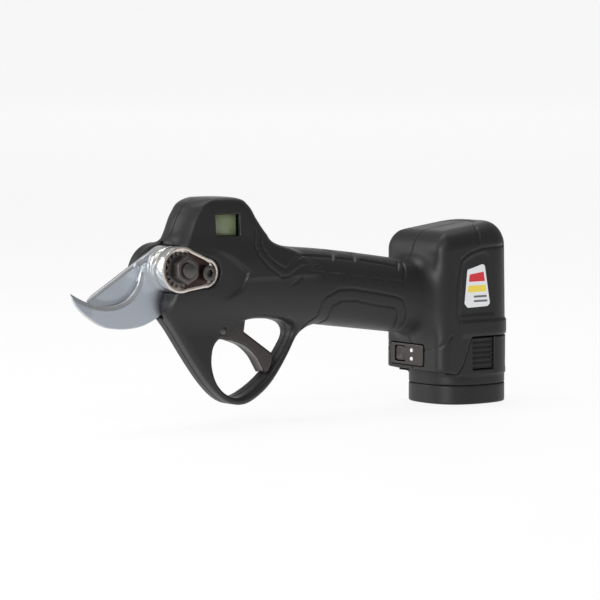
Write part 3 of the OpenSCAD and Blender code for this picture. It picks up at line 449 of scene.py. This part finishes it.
def rooms(x, y, z):
    """Space inside the shells for the head, the blade's gear, the motor and the trigger."""
    s, h = along_drive(x, z)
    drive = np.hypot(y, h)
    gap = 0.4
    hook_flat = np.minimum(disc(x, z, BOSS_R + gap), polygon(x, z, HOOK_ROOM))
    blade_flat = np.minimum(disc(x, z, BOSS_R + gap), polygon(x, z, BLADE_ROOM))
    down, up = (math.radians(angle) for angle in SECTOR_ANGLES)
    sector = np.maximum(z * math.cos(up) - x * math.sin(up), x * math.sin(down) - z * math.cos(down))
    sector = np.maximum(disc(x, z, SECTOR_R), sector)
    spaces = [
        # the fixed and the moving blade
        np.maximum(hook_flat, band(y, -2.3, 1.1)),
        np.maximum(blade_flat, band(y, 1.0, 4.3)),
        # the bevel sector's hub and its swing
        np.maximum(disc(x, z, SECTOR_HUB_R), band(y, *SECTOR_Y)),
        np.maximum(sector, band(y, *SECTOR_Y)),
        # the gearbox with the motor, and the pinion
        np.maximum(drive - GEARBOX_R, band(s, 26, 105)),
        np.maximum(drive - PINION_R, band(s, 8, 27)),
        # the pivot boss and the arm of the head frame
        np.maximum(boss_flat(x, z, gap), y),
        np.maximum(np.maximum(band(h, -8.4, 8.4), band(s, 0, 33)), band(y, -11.8, -3.4)),
        # the trigger, and the head of the pivot bolt
        np.maximum(polygon(x, z, TRIGGER_SLOT), np.abs(y) - 5.5),
        np.maximum(disc(x, z, BOLT_HEAD_R), 11 - y),
    ]
    return np.minimum.reduce([np.broadcast_to(a, np.broadcast(x, y, z).shape) for a in spaces])


def far_nose(x, y, z):
    """Round cover over the far end of the pivot."""
    flat = join(disc(x, z, 13.4), disc(x, z, 15.5, (-1, -3.5)), 3)
    return block(flat, y, 4.4, 13.8, 2.6)


# the switch sits a little nearer the label side than its CAD nodes
SWITCH_SHIFT = np.array([0, -5.5, 0])
SWITCH = [corner + SWITCH_SHIFT for corner in mm_box("switch_bezel")]
LEDS = [corner + SWITCH_SHIFT for corner in mm_box("status_leds")]
DISPLAY = mm_box("display_lens")
LABEL = mm_box("rating_label")
BUTTON = [corner + SWITCH_SHIFT for corner in mm_box("power_button")]


def window(x, y, z, box, axis, grow, depth_low, depth_high):
    """A rectangular opening round a CAD box, cut along one axis."""
    low, high = box
    spans = [band(t, low[i] - grow, high[i] + grow) for i, t in enumerate((x, y, z))]
    spans[axis] = band((x, y, z)[axis], depth_low, depth_high)
    return np.maximum(np.maximum(spans[0], spans[1]), spans[2])


def shell(side):
    """The field of one half of the shells; side is -1 for the near half."""

    def field(x, y, z):
        out = outside(x, y, z)
        if side > 0:
            out = join(out, far_nose(x, y, z), 1.5)
            for place in SCREWS:
                out = cut(out, np.maximum(disc(x, z, HEAD_HOLE_R, place), 4 - y), 0.4)
        out = out + handle_grooves(x, y, z) + housing_details(x, y, z)
        form = cut(out, inside(x, y, z), 0.4)
        form = cut(form, rooms(x, y, z), 0.3)
        form = cut(form, polygon(x - FOOT_X, z - FOOT_Z, SKIRT_NOTCH), 0.6)
        form = cut(form, window(x, y, z, SWITCH, 0, 0.4, SWITCH[0][0] - 3, SWITCH[0][0] + 8), 0.4)
        if side < 0:
            field = polygon(x, z, SHIELD)
            backing = np.maximum(field - 2, band(y, SHIELD_Y - 1.5, SHIELD_Y + 3))
            form = np.minimum(form, np.maximum(backing, out))
            holes = np.minimum(boss_flat(x, z, 0.4), disc(x, z, TRIGGER_PIN_HOLE, TRIGGER_PIN))
            form = cut(form, holes, 0.2)
            form = cut(form, common(field, y - SHIELD_Y, 1.5), 1.6)
            form = cut(form, window(x, y, z, DISPLAY, 1, 0.1, -40, 0), 0.5)
        return common(form, -side * y + 0.05, 0.5)

    return field


def add(name, body, node, slot, field, low, high, step):
    """Sculpts a piece that stands for one CAD node."""
    piece = sculpt(name, field, low, high, step)
    piece.data.materials.append(MATERIAL[slot])
    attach(piece, body)
    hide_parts(node)
    return piece


def make_shells():
    """Both halves of the shells."""
    step = 0.7
    ends = [(-20, 238), (-78, 40)]
    for side, name in ((-1, "left_shell"), (1, "right_shell")):
        y_range = (-29, 1.5) if side < 0 else (-1.5, 29)
        low = (ends[0][0], y_range[0], ends[1][0])
        high = (ends[0][1], y_range[1], ends[1][1])
        add(name + "_skin", "housing", name, "shell_plastic", shell(side), low, high, step)


# ---------- blades and trigger ----------

# bores of the two blades
BOLT_R = 4.05
BUSH_R = 5.55
HOOK_EDGE = smooth_line(
    [
        (-61, -10.6), (-53.6, -14.6), (-46, -17.4), (-37.7, -18.5), (-29.6, -17.4), (-23, -13.6), (-18.6, -8),
        (-16.6, -1),
    ]
)  # fmt: skip
HOOK_BELLY = smooth_line(
    [
        (-2.2, -23.4), (-7.4, -26.6), (-16, -30), (-25, -31.2), (-34, -30.8), (-42.5, -28.8), (-52, -23),
        (-58, -17), (-60.8, -11.2),
    ]
)  # fmt: skip
HOOK_HEEL = [(-16.2, 2), (-14.2, 3.4), (-10, 4), (0, 0), (5.6, -10.7), (3, -18)]
BLADE_TIP = (-50.5, -15.6)
BLADE_EDGE = smooth_line(
    [BLADE_TIP, (-45, -19.2), (-37.5, -20.6), (-29, -20), (-21.6, -16.4), (-16.2, -10.6), (-12.6, -4)]
)
TRIGGER_TOP = smooth_line(
    [(48.6, -26.4), (43, -28.6), (38, -31.6), (34, -31), (30, -33.2), (29.2, -37), (33, -39.6)], 4
)
TRIGGER_FINGER = smooth_line(
    [(41.4, -41.2), (50.4, -44.6), (57.6, -50.4), (62, -57), (64, -60.2)], 5
)
TRIGGER_BACK = [(66.6, -59.4), (68.8, -54.4), (69, -49.4), (49.6, -36.4), (50.6, -30)]


def heel_tangent():
    """Where the straight spine of the blade touches the round heel."""
    reach = math.hypot(*BLADE_TIP)
    angle = math.atan2(BLADE_TIP[1], BLADE_TIP[0]) - math.acos(BOSS_R / reach)
    return BOSS_R * math.cos(angle), BOSS_R * math.sin(angle)


def hook(x, y, z):
    """The fixed blade: a hook with a ground inner edge and a facet at its tip."""
    outline = np.concatenate([HOOK_EDGE, HOOK_HEEL, HOOK_BELLY])
    flat = np.minimum(polygon(x, z, outline), disc(x, z, BOSS_R))
    bevel = 0.42 * np.clip(2.2 - to_line(x, z, HOOK_EDGE), 0, 2.2)
    tip_facet = 0.1 * np.clip(-47.5 + 0.38 * (z + 18) - x, 0, 16)
    near = HOOK_Y[0] + np.minimum(bevel + tip_facet, 2.2)
    far = HOOK_Y[1] - 0.2 * np.clip(1 - to_line(x, z, HOOK_BELLY), 0, 1)
    body = common(flat, np.maximum(near - y, y - far), 0.25)
    return cut(body, disc(x, z, BOLT_R), 0.2)


def blade(x, y, z):
    """The moving blade: a straight spine, a curved edge ground from the far side and a hollow near face."""
    spine = [BLADE_TIP, heel_tangent()]
    outline = np.concatenate([BLADE_EDGE, [(0, 0)], spine[1:]])
    flat = np.minimum(polygon(x, z, outline), disc(x, z, BOSS_R))
    from_edge = to_line(x, z, BLADE_EDGE)
    hollow = 0.35 * np.clip(disc(x, z, 16.2, (-2, 1)) / 1.6, 0, 1) * np.clip(from_edge / 5, 0, 1)
    spine_bevel = 0.5 * np.clip(1.5 - to_line(x, z, spine), 0, 1.5) * np.clip(disc(x, z, 13) / 2, 0, 1)
    near = BLADE_Y[0] + hollow + spine_bevel
    far = BLADE_Y[1] - 0.42 * np.clip(5 - from_edge, 0, 5)
    body = common(flat, np.maximum(near - y, y - far), 0.2)
    return cut(body, disc(x, z, BUSH_R), 0.2)


def trigger(x, y, z):
    """The trigger, with a dished finger face."""
    outline = np.concatenate([TRIGGER_TOP, TRIGGER_FINGER, TRIGGER_BACK])
    dish = 0.6 * np.clip(1 - (y / 4.2) ** 2, 0, 1) * np.clip(2.5 - to_line(x, z, TRIGGER_FINGER), 0, 1)
    body = block(polygon(x, z, outline) + dish, y, -5, 5, 1.3)
    return cut(body, disc(x, z, TRIGGER_PIN_HOLE, TRIGGER_PIN), 0.2)


def make_blades():
    """The two blades and the trigger."""
    step = 0.32
    add("hook_steel", "housing", "fixed_blade", "blade_steel", hook, (-63, -2.8, -33), (14, 1.8, 14), step)
    add("blade_ground", "blade", "moving_blade", "blade_steel", blade, (-53, 0.3, -23), (14, 4.6, 14), step)
    low, high = (27, -6, -64), (70, 6, -22)
    add("trigger_body", "trigger", "trigger", "trigger_plastic", trigger, low, high, step + 0.1)


# ---------- battery, latches and switch ----------

# the battery: height of its bottom cap and tower, plan of the tower and the foot, place of the cap screws
CAP_H = 11.0
TOWER_TOP = 72.0
TOWER = 41.6
TOWER_CORNER = 10.6
CAP_SCREW_X = 20.8
FOOT_HALF = (26.1, 25.0)


def foot(x, y, g):
    """Distance to the plan of the battery foot, drawn in by g."""
    return oval(x, y, FOOT_HALF[0] - g, FOOT_HALF[1] - g, 2.6)


def tower(x, y, g):
    """Distance to the plan of the battery tower, drawn in by g."""
    u, v = np.abs(x) - TOWER / 2 + TOWER_CORNER, np.abs(y) - TOWER / 2 + TOWER_CORNER
    return np.hypot(np.maximum(u, 0), np.maximum(v, 0)) + np.minimum(np.maximum(u, v), 0) - TOWER_CORNER + g


def battery_case(x, y, z):
    """The battery case: foot, waist with the latch pockets, and the tower in the housing."""
    bx, bz = x - FOOT_X, z - FOOT_Z
    body = block(foot(bx, y, 0.05), bz, CAP_H + 0.12, 19.5, 0.5)
    waist = np.maximum(rounded_plan(x, y, 0.1), polygon(bx, bz, SKIRT_NOTCH) + 0.4)
    body = join(body, common(waist, band(bz, 17, 38.6), 0.5), 1.5)
    body = np.minimum(body, common(tower(bx, y, 0), band(bz, 15, TOWER_TOP), 0.8))
    body = cut(body, np.maximum(tower(bx, y, 1.9), bz - TOWER_TOP + 2.4), 0.2)
    contacts = np.maximum(np.abs(np.abs(y) - 4) - 5, np.abs(np.abs(np.abs(y) - 4) - 4) - 1)
    body = cut(body, np.maximum(np.maximum(contacts, np.abs(bx) - 8), 62 - bz), 0.2)
    pocket = np.maximum(band(bx, -10.2, 6.2), band(bz, 19.8, 40))
    return cut(body, np.maximum(pocket, 20.9 - np.abs(y)), 0.3)


def battery_cap(x, y, z):
    """The hollow bottom cap with its two screw recesses."""
    bx, bz = x - FOOT_X, z - FOOT_Z
    body = block(foot(bx, y, 0), bz, 0, CAP_H, 0.9)
    body = cut(body, np.maximum(foot(bx, y, 2.2), 2.4 - bz), 0.2)
    screw = disc(np.abs(bx), y, 0, (CAP_SCREW_X, 0))
    sink = np.minimum(screw - 1.5, np.maximum(screw - 3, bz - 1.4))
    return cut(body, sink, 0.2)


LATCH_X = (-9.9, 5.9)
LATCH_OUT = 25.9
RIB_PITCH = 2.9


def latch(side):
    """The field of one latch grip: a plate with round cross ribs."""

    def field(x, y, z):
        bx, bz, out = x - FOOT_X, z - FOOT_Z, side * y
        across = band(bx, *LATCH_X)
        body = block(np.maximum(across, band(bz, 20.1, 38.3)), out, LATCH_OUT - 3.8, LATCH_OUT - 1.9, 0.4)
        wave = LATCH_OUT - 1.3 * np.abs(np.sin((bz - 20.4) / RIB_PITCH * math.pi)) ** 0.5
        ribbed = np.maximum(across, band(bz, 20.6, 37.8))
        ribs = common(ribbed, np.maximum(LATCH_OUT - 2.9 - out, out - wave), 0.5)
        return np.minimum(body, ribs)

    return field


def button(x, y, z):
    """The power button, with a dished face."""
    low, high = BUTTON
    middle, half = (low + high) / 2, (high - low) / 2
    dish = 0.5 * np.clip(1 - disc(y - middle[1], z - middle[2], 0) / 4.5, 0, 1)
    flat = oval(y - middle[1], z - middle[2], half[1], half[2], 5)
    return block(flat, x, low[0] + dish, high[0], 0.9)


def panel_flat(y, z, low, high, radius):
    """Distance to a rectangle with round corners across the front of the housing."""
    u = np.abs(y - (low[1] + high[1]) / 2) - (high[1] - low[1]) / 2 + radius
    v = np.abs(z - (low[2] + high[2]) / 2) - (high[2] - low[2]) / 2 + radius
    return np.minimum(np.maximum(u, v), 0) + np.hypot(np.maximum(u, 0), np.maximum(v, 0)) - radius


def led_flat(y, z):
    """Distance to the nearer of the two round lights, from their middles."""
    low, high = LEDS
    radius = (high[1] - low[1]) / 2
    reach = (high[2] - low[2]) / 2 - radius
    return np.hypot(y - (low[1] + high[1]) / 2, np.abs(z - (low[2] + high[2]) / 2) - reach) - radius


def bezel(x, y, z):
    """The switch panel with its openings for the button and the two lights."""
    low, high = SWITCH
    body = block(panel_flat(y, z, low, high, 1.2), x, low[0], high[0], 0.5)
    body = cut(body, panel_flat(y, z, BUTTON[0] - 0.3, BUTTON[1] + 0.3, 1.4), 0.4)
    return cut(body, led_flat(y, z) - 0.05, 0.2)


def leds(x, y, z):
    """The two round lights as one piece."""
    low, high = LEDS
    return block(led_flat(y, z), x, low[0], high[0], 0.5)


def make_switch():
    """The switch panel and its two lights."""
    step = 0.28
    parts = [("switch_bezel", "trigger_plastic", bezel, SWITCH), ("status_leds", "led_white", leds, LEDS)]
    for name, slot, field, (low, high) in parts:
        add(name + "_front", "housing", name, slot, field, low - 1, high + 1, step)


def make_battery():
    """The battery's skin and cap, and the two latch grips."""
    step = 0.55
    low, high = (FOOT_X - 29, -28, FOOT_Z - 1), (FOOT_X + 30, 28, FOOT_Z + 74)
    add("battery_skin", "battery", "battery_case", "battery_plastic", battery_case, low, high, step)
    high = (FOOT_X + 30, 28, FOOT_Z + 12)
    add("battery_foot_cap", "battery", "battery_bottom_cap", "battery_plastic", battery_cap, low, high, step)
    for side, name in ((-1, "latch_left"), (1, "latch_right")):
        y_range = (-27, -21) if side < 0 else (21, 27)
        low, high = (FOOT_X - 11, y_range[0], FOOT_Z + 19), (FOOT_X + 7, y_range[1], FOOT_Z + 40)
        add(name + "_grip", name, name, "latch_plastic", latch(side), low, high, 0.36)


def make_button():
    """The button's cap, built a little in front of its CAD node."""
    low, high = BUTTON
    add("button_cap", "power_button", "power_button", "trigger_plastic", button, low - 1, high + 1, 0.36)


# ---------- label ----------

# x and z of the white plate and of the plain blocks printed on it
LABEL_SHAPE = [
    (192.7, -7.5), (204.1, -4.6), (205.6, -5.5), (209.6, -27.2), (208, -28.8), (192.9, -29.2), (190.6, -26.8),
]  # fmt: skip
LABEL_PRINT = {
    "label_red": [(194.1, -10.2), (204.7, -9), (205.7, -14.4), (193.5, -14.4)],
    "label_yellow": [(193.1, -16.6), (206.1, -16.6), (206.8, -20.4), (192.7, -20.4)],
    "label_grey": [(197.3, -22.4), (207, -22.4), (207.2, -23.6), (197.3, -23.6)],
    "label_grey_low": [(197.3, -25), (207.5, -25), (207.7, -26.2), (197.3, -26.2)],
}


def plate(name, outline, near, far, round_by, material):
    """A thin plate facing the near side, with round corners and a small bevel."""
    points = np.array(outline, float)
    loop = []
    for before, here, after in zip(np.roll(points, 1, axis=0), points, np.roll(points, -1, axis=0)):
        for t in np.linspace(0, 1, 5):
            a = here + (before - here) / np.linalg.norm(before - here) * round_by
            b = here + (after - here) / np.linalg.norm(after - here) * round_by
            loop.append((1 - t) ** 2 * a + 2 * t * (1 - t) * here + t * t * b)
    middle = points.mean(axis=0)
    rings = [(1.0, far), (1.0, near + 0.04), (0.994, near)]
    verts = []
    for share, y in rings:
        for point in loop:
            flat_x, flat_z = middle + (point - middle) * share
            verts.append(np.array([flat_x, y, flat_z]) / MM + PIVOT)
    n = len(loop)
    faces = []
    for start in (0, n):
        for i in range(n):
            after = (i + 1) % n
            faces.append((start + i, start + after, start + n + after, start + n + i))
    faces += [tuple(range(n))[::-1], tuple(range(2 * n, 3 * n))]
    mesh = bpy.data.meshes.new(name)
    mesh.from_pydata([tuple(v) for v in verts], [], faces)
    mesh.update()
    piece = bpy.data.objects.new(name, mesh)
    bpy.context.scene.collection.objects.link(piece)
    piece.data.materials.append(material)
    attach(piece, "housing")
    return piece


def make_label():
    """The white plate and the plain blocks on it."""
    near, far = LABEL[0][1], LABEL[1][1]
    base = plate("label_plate", LABEL_SHAPE, near, far, 0.7, MATERIAL["label_film"])
    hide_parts("rating_label")
    inks = {"label_red": (0.68, 0.03, 0.04), "label_yellow": (0.92, 0.72, 0.1)}
    for name, outline in LABEL_PRINT.items():
        ink = finish(name, inks.get(name, (0.16, 0.16, 0.17)), 0.35, grain=800, bump=0.02, spread=0.05)
        plate(name, outline, near - 0.03, near + 0.02, 0.5, ink)


# ---------- materials ----------

MATERIAL = {}


def link(tree, a, out, b, into):
    """Wire one output of node a to one input of node b."""
    tree.links.new(a.outputs[out], b.inputs[into])


def finish(
    name,
    colour,
    rough,
    metal=0.0,
    grain=900.0,
    bump=0.04,
    stretch=(1, 1, 1),
    spread=0.12,
    wear=0.0,
    near_face_reflection_tint=None,
    gloss=0.5,
):
    """A node material: mottled colour, uneven roughness, fine grain in the bump and paler worn edges; when a
    tint is given, a painted reflection: faces turned to the near side are mixed toward that tint.
    """
    material = bpy.data.materials.new(name)
    material.use_nodes = True
    tree = material.node_tree
    shader = tree.nodes["Principled BSDF"]
    shader.inputs["Metallic"].default_value = metal
    shader.inputs["Specular IOR Level"].default_value = gloss
    place = tree.nodes.new("ShaderNodeTexCoord")
    scale = tree.nodes.new("ShaderNodeMapping")
    scale.inputs["Scale"].default_value = stretch
    link(tree, place, "Object", scale, "Vector")
    cloud = tree.nodes.new("ShaderNodeTexNoise")
    cloud.inputs["Scale"].default_value = grain / 18
    cloud.inputs["Detail"].default_value = 5
    link(tree, scale, "Vector", cloud, "Vector")
    fine = tree.nodes.new("ShaderNodeTexNoise")
    fine.inputs["Scale"].default_value = grain
    fine.inputs["Detail"].default_value = 3
    link(tree, scale, "Vector", fine, "Vector")
    tint = tree.nodes.new("ShaderNodeMix")
    tint.data_type = "RGBA"
    tint.inputs["A"].default_value = [c * (1 - spread) for c in colour[:3]] + [1]
    tint.inputs["B"].default_value = [min(1, c * (1 + spread)) for c in colour[:3]] + [1]
    link(tree, cloud, "Fac", tint, "Factor")
    shine = tree.nodes.new("ShaderNodeMapRange")
    shine.inputs["To Min"].default_value = rough * 0.85
    shine.inputs["To Max"].default_value = min(1, rough * 1.18)
    link(tree, cloud, "Fac", shine, "Value")
    link(tree, shine, "Result", shader, "Roughness")
    dents = tree.nodes.new("ShaderNodeBump")
    dents.inputs["Strength"].default_value = bump
    dents.inputs["Distance"].default_value = 0.0004
    link(tree, fine, "Fac", dents, "Height")
    link(tree, dents, "Normal", shader, "Normal")
    colour_from = (tint, "Result")
    if wear:
        edge = tree.nodes.new("ShaderNodeBevel")
        edge.samples = 4
        edge.inputs["Radius"].default_value = 0.0006
        plain = tree.nodes.new("ShaderNodeNewGeometry")
        lean = tree.nodes.new("ShaderNodeVectorMath")
        lean.operation = "DOT_PRODUCT"
        tree.links.new(edge.outputs["Normal"], lean.inputs[0])
        tree.links.new(plain.outputs["Normal"], lean.inputs[1])
        worn = tree.nodes.new("ShaderNodeMapRange")
        worn.inputs["From Min"].default_value = 0.98
        worn.inputs["From Max"].default_value = 0.8
        worn.inputs["To Max"].default_value = wear
        tree.links.new(lean.outputs["Value"], worn.inputs["Value"])
        pale = tree.nodes.new("ShaderNodeMix")
        pale.data_type = "RGBA"
        pale.inputs["B"].default_value = [min(1, 0.08 + c * 1.6) for c in colour[:3]] + [1]
        link(tree, worn, "Result", pale, "Factor")
        link(tree, tint, "Result", pale, "A")
        colour_from = (pale, "Result")
    # painted reflection: faces turned to the near side (-y) take this tint, standing in for the surroundings
    # they mirror, not a colour of the part
    if near_face_reflection_tint:
        facing = tree.nodes.new("ShaderNodeNewGeometry")
        split = tree.nodes.new("ShaderNodeSeparateXYZ")
        near = tree.nodes.new("ShaderNodeMapRange")
        near.inputs["From Min"].default_value = -0.9
        near.inputs["From Max"].default_value = -0.99
        face = tree.nodes.new("ShaderNodeMix")
        face.data_type = "RGBA"
        face.inputs["B"].default_value = (*near_face_reflection_tint, 1)
        link(tree, facing, "True Normal", split, "Vector")
        link(tree, split, "Y", near, "Value")
        link(tree, near, "Result", face, "Factor")
        link(tree, colour_from[0], colour_from[1], face, "A")
        colour_from = (face, "Result")
    link(tree, colour_from[0], colour_from[1], shader, "Base Color")
    MATERIAL[name] = material
    return material


def make_materials():
    """One material for each slot of the record, in the record's own colour, with a painted reflection tint on
    the near faces of the blade steel and the head alloy.
    """
    slots = {m["slot"]: m for m in frame["record"]["materials"]}
    recipes = {
        "shell_plastic": dict(rough=0.4, grain=2600, bump=0.22, spread=0.08, wear=0.25, gloss=0.36),
        "trigger_plastic": dict(rough=0.24, grain=2200, bump=0.1, wear=0.3, gloss=0.55),
        "battery_plastic": dict(rough=0.42, grain=2600, bump=0.2, wear=0.25, gloss=0.34),
        "latch_plastic": dict(rough=0.45, grain=2400, bump=0.2, wear=0.25, gloss=0.34),
        # blade steel: its near faces get a bluish painted reflection tint
        "blade_steel": dict(
            rough=0.34, metal=1.0, grain=1100, bump=0.12, stretch=(0.2, 1, 2.2), wear=0.5,
            near_face_reflection_tint=(0.5, 0.54, 0.6),
        ),
        # head alloy: its near faces, the boss rim, get a tan painted reflection of the surroundings
        "head_alloy": dict(
            rough=0.24, metal=1.0, grain=1400, bump=0.08, wear=0.5, near_face_reflection_tint=(0.7, 0.63, 0.58)
        ),
        "dark_steel": dict(rough=0.36, metal=1.0, grain=1500, bump=0.1, wear=0.6),
        "lock_bronze": dict(rough=0.4, metal=0.7, grain=1500, bump=0.12, wear=0.4),
        "bright_steel": dict(rough=0.28, metal=1.0, grain=1500, bump=0.06, wear=0.4),
        "bush_bronze": dict(rough=0.35, metal=1.0, grain=1600, bump=0.1),
        "case_alloy": dict(rough=0.35, metal=1.0, grain=1200, bump=0.08, wear=0.3),
        "motor_steel": dict(rough=0.35, metal=0.6, grain=1200, bump=0.05, wear=0.3),
        "winding": dict(rough=0.3, metal=0.8, grain=700, bump=0.2, stretch=(1, 8, 1)),
        "magnet": dict(rough=0.25, metal=1.0, grain=900, bump=0.04),
        "circuit_board": dict(rough=0.35, grain=700, bump=0.08, spread=0.25),
        "display_glass": dict(rough=0.14, grain=500, bump=0.02, spread=0.1),
        "led_white": dict(rough=0.25, grain=900, bump=0.04, spread=0.05),
        "contact_plastic": dict(rough=0.5, grain=1500, bump=0.1),
        "lead_red": dict(rough=0.5, grain=1200, bump=0.1),
        "label_film": dict(rough=0.35, grain=800, bump=0.02, spread=0.03),
        "cell_wrap": dict(rough=0.3, grain=800, bump=0.03),
    }
    for name, recipe in recipes.items():
        finish(name, slots[name]["base_color"], **recipe)


# ---------- carried-over CAD nodes ----------

# nodes that look darker than the rest of their material slot
DARKENED = {"trigger_pin": "dark_steel"}


def dress_cad():
    """Gives every CAD node its material, merges its corner points and breaks its edges a little."""
    slots = {s["node"]: s["material_slot"] for s in frame["record"]["subparts"]}
    for name, node in frame["nodes"].items():
        node.data.materials.clear()
        node.data.materials.append(MATERIAL[DARKENED.get(name, slots[name])])
        weld = node.modifiers.new("weld", "WELD")
        weld.merge_threshold = 1e-6
        edge = node.modifiers.new("edge", "BEVEL")
        edge.width = 0.00018
        edge.segments = 2
        edge.limit_method = "ANGLE"
        edge.angle_limit = math.radians(32)
        edge.harden_normals = True
        for face in node.data.polygons:
            face.use_smooth = True


# ---------- studio ----------


def area_light(name, place, aim, size, power):
    """A rectangular light at a place, facing the point aimed at."""
    data = bpy.data.lights.new(name, "AREA")
    data.shape = "RECTANGLE"
    data.size, data.size_y = size
    data.energy = power
    lamp = bpy.data.objects.new(name, data)
    lamp.location = place
    bpy.context.scene.collection.objects.link(lamp)
    away = lamp.location - type(lamp.location)(aim)
    lamp.rotation_euler = away.to_track_quat("Z", "Y").to_euler()


def make_stage():
    """A pale paper sweep behind the tool, an even sky and four soft lights."""
    scene = bpy.context.scene
    sweep = []
    depth = [
        (-0.9, 0.0), (0.5, 0.0), (4.0, 0.0), (8.0, 0.0), (10.0, 0.15), (12.0, 0.8), (13.5, 2.4), (14.0, 5.0),
        (14.0, 9.0),
    ]  # fmt: skip
    facing = math.radians(-38)
    ahead = np.array([-math.sin(facing), math.cos(facing)])
    across = np.array([math.cos(facing), math.sin(facing)])
    for far, up in smooth_line(depth, 6):
        for side in (-1, 1):
            ground = ahead * far + across * side * (0.9 + 0.15 * max(far, 0)) + np.array([-0.12, 0])
            sweep.append((ground[0], ground[1], up - 0.0002))
    rows = len(sweep) // 2
    mesh = bpy.data.meshes.new("studio_sweep")
    mesh.from_pydata(sweep, [], [(2 * i, 2 * i + 1, 2 * i + 3, 2 * i + 2) for i in range(rows - 1)])
    mesh.shade_smooth()
    floor = bpy.data.objects.new("studio_sweep", mesh)
    scene.collection.objects.link(floor)
    paper = finish("paper", (0.08, 0.08, 0.08), 0.9, grain=300, bump=0.01, spread=0.01)
    paper.node_tree.nodes["Principled BSDF"].inputs["Emission Color"].default_value = (1, 1, 1, 1)
    paper.node_tree.nodes["Principled BSDF"].inputs["Emission Strength"].default_value = 0.87
    mesh.materials.append(paper)
    world = bpy.data.worlds.new("studio")
    scene.world = world
    world.use_nodes = True
    world.node_tree.nodes["Background"].inputs["Color"].default_value = (1, 1, 1, 1)
    world.node_tree.nodes["Background"].inputs["Strength"].default_value = 0.3
    area_light("key", (-0.7, -1.0, 1.3), (-0.1, 0, 0.07), (0.9, 0.7), 4)
    area_light("top", (-0.05, 0.3, 1.2), (-0.1, 0, 0.05), (1.3, 0.6), 6.5)
    area_light("left", (-1.3, -0.45, 0.3), (-0.1, 0, 0.07), (0.36, 0.8), 11)
    area_light("far_left", (-1.0, 0.9, 0.5), (-0.15, 0, 0.07), (0.7, 0.9), 5)
    scene.view_settings.view_transform = "Standard"


def make_camera():
    """A long lens from the front and near side, slightly above the tool."""
    data = bpy.data.cameras.new("camera")
    data.lens = 180
    data.sensor_width = 36
    camera = bpy.data.objects.new("camera", data)
    camera.location = (-1.1377, -1.3087, 0.1943)
    camera.rotation_euler = (math.radians(85.5), 0, math.radians(-38))
    bpy.context.scene.collection.objects.link(camera)
    bpy.context.scene.camera = camera


make_materials()
dress_cad()
make_shells()
make_blades()
make_battery()
make_button()
make_switch()
make_label()
make_stage()
make_camera()
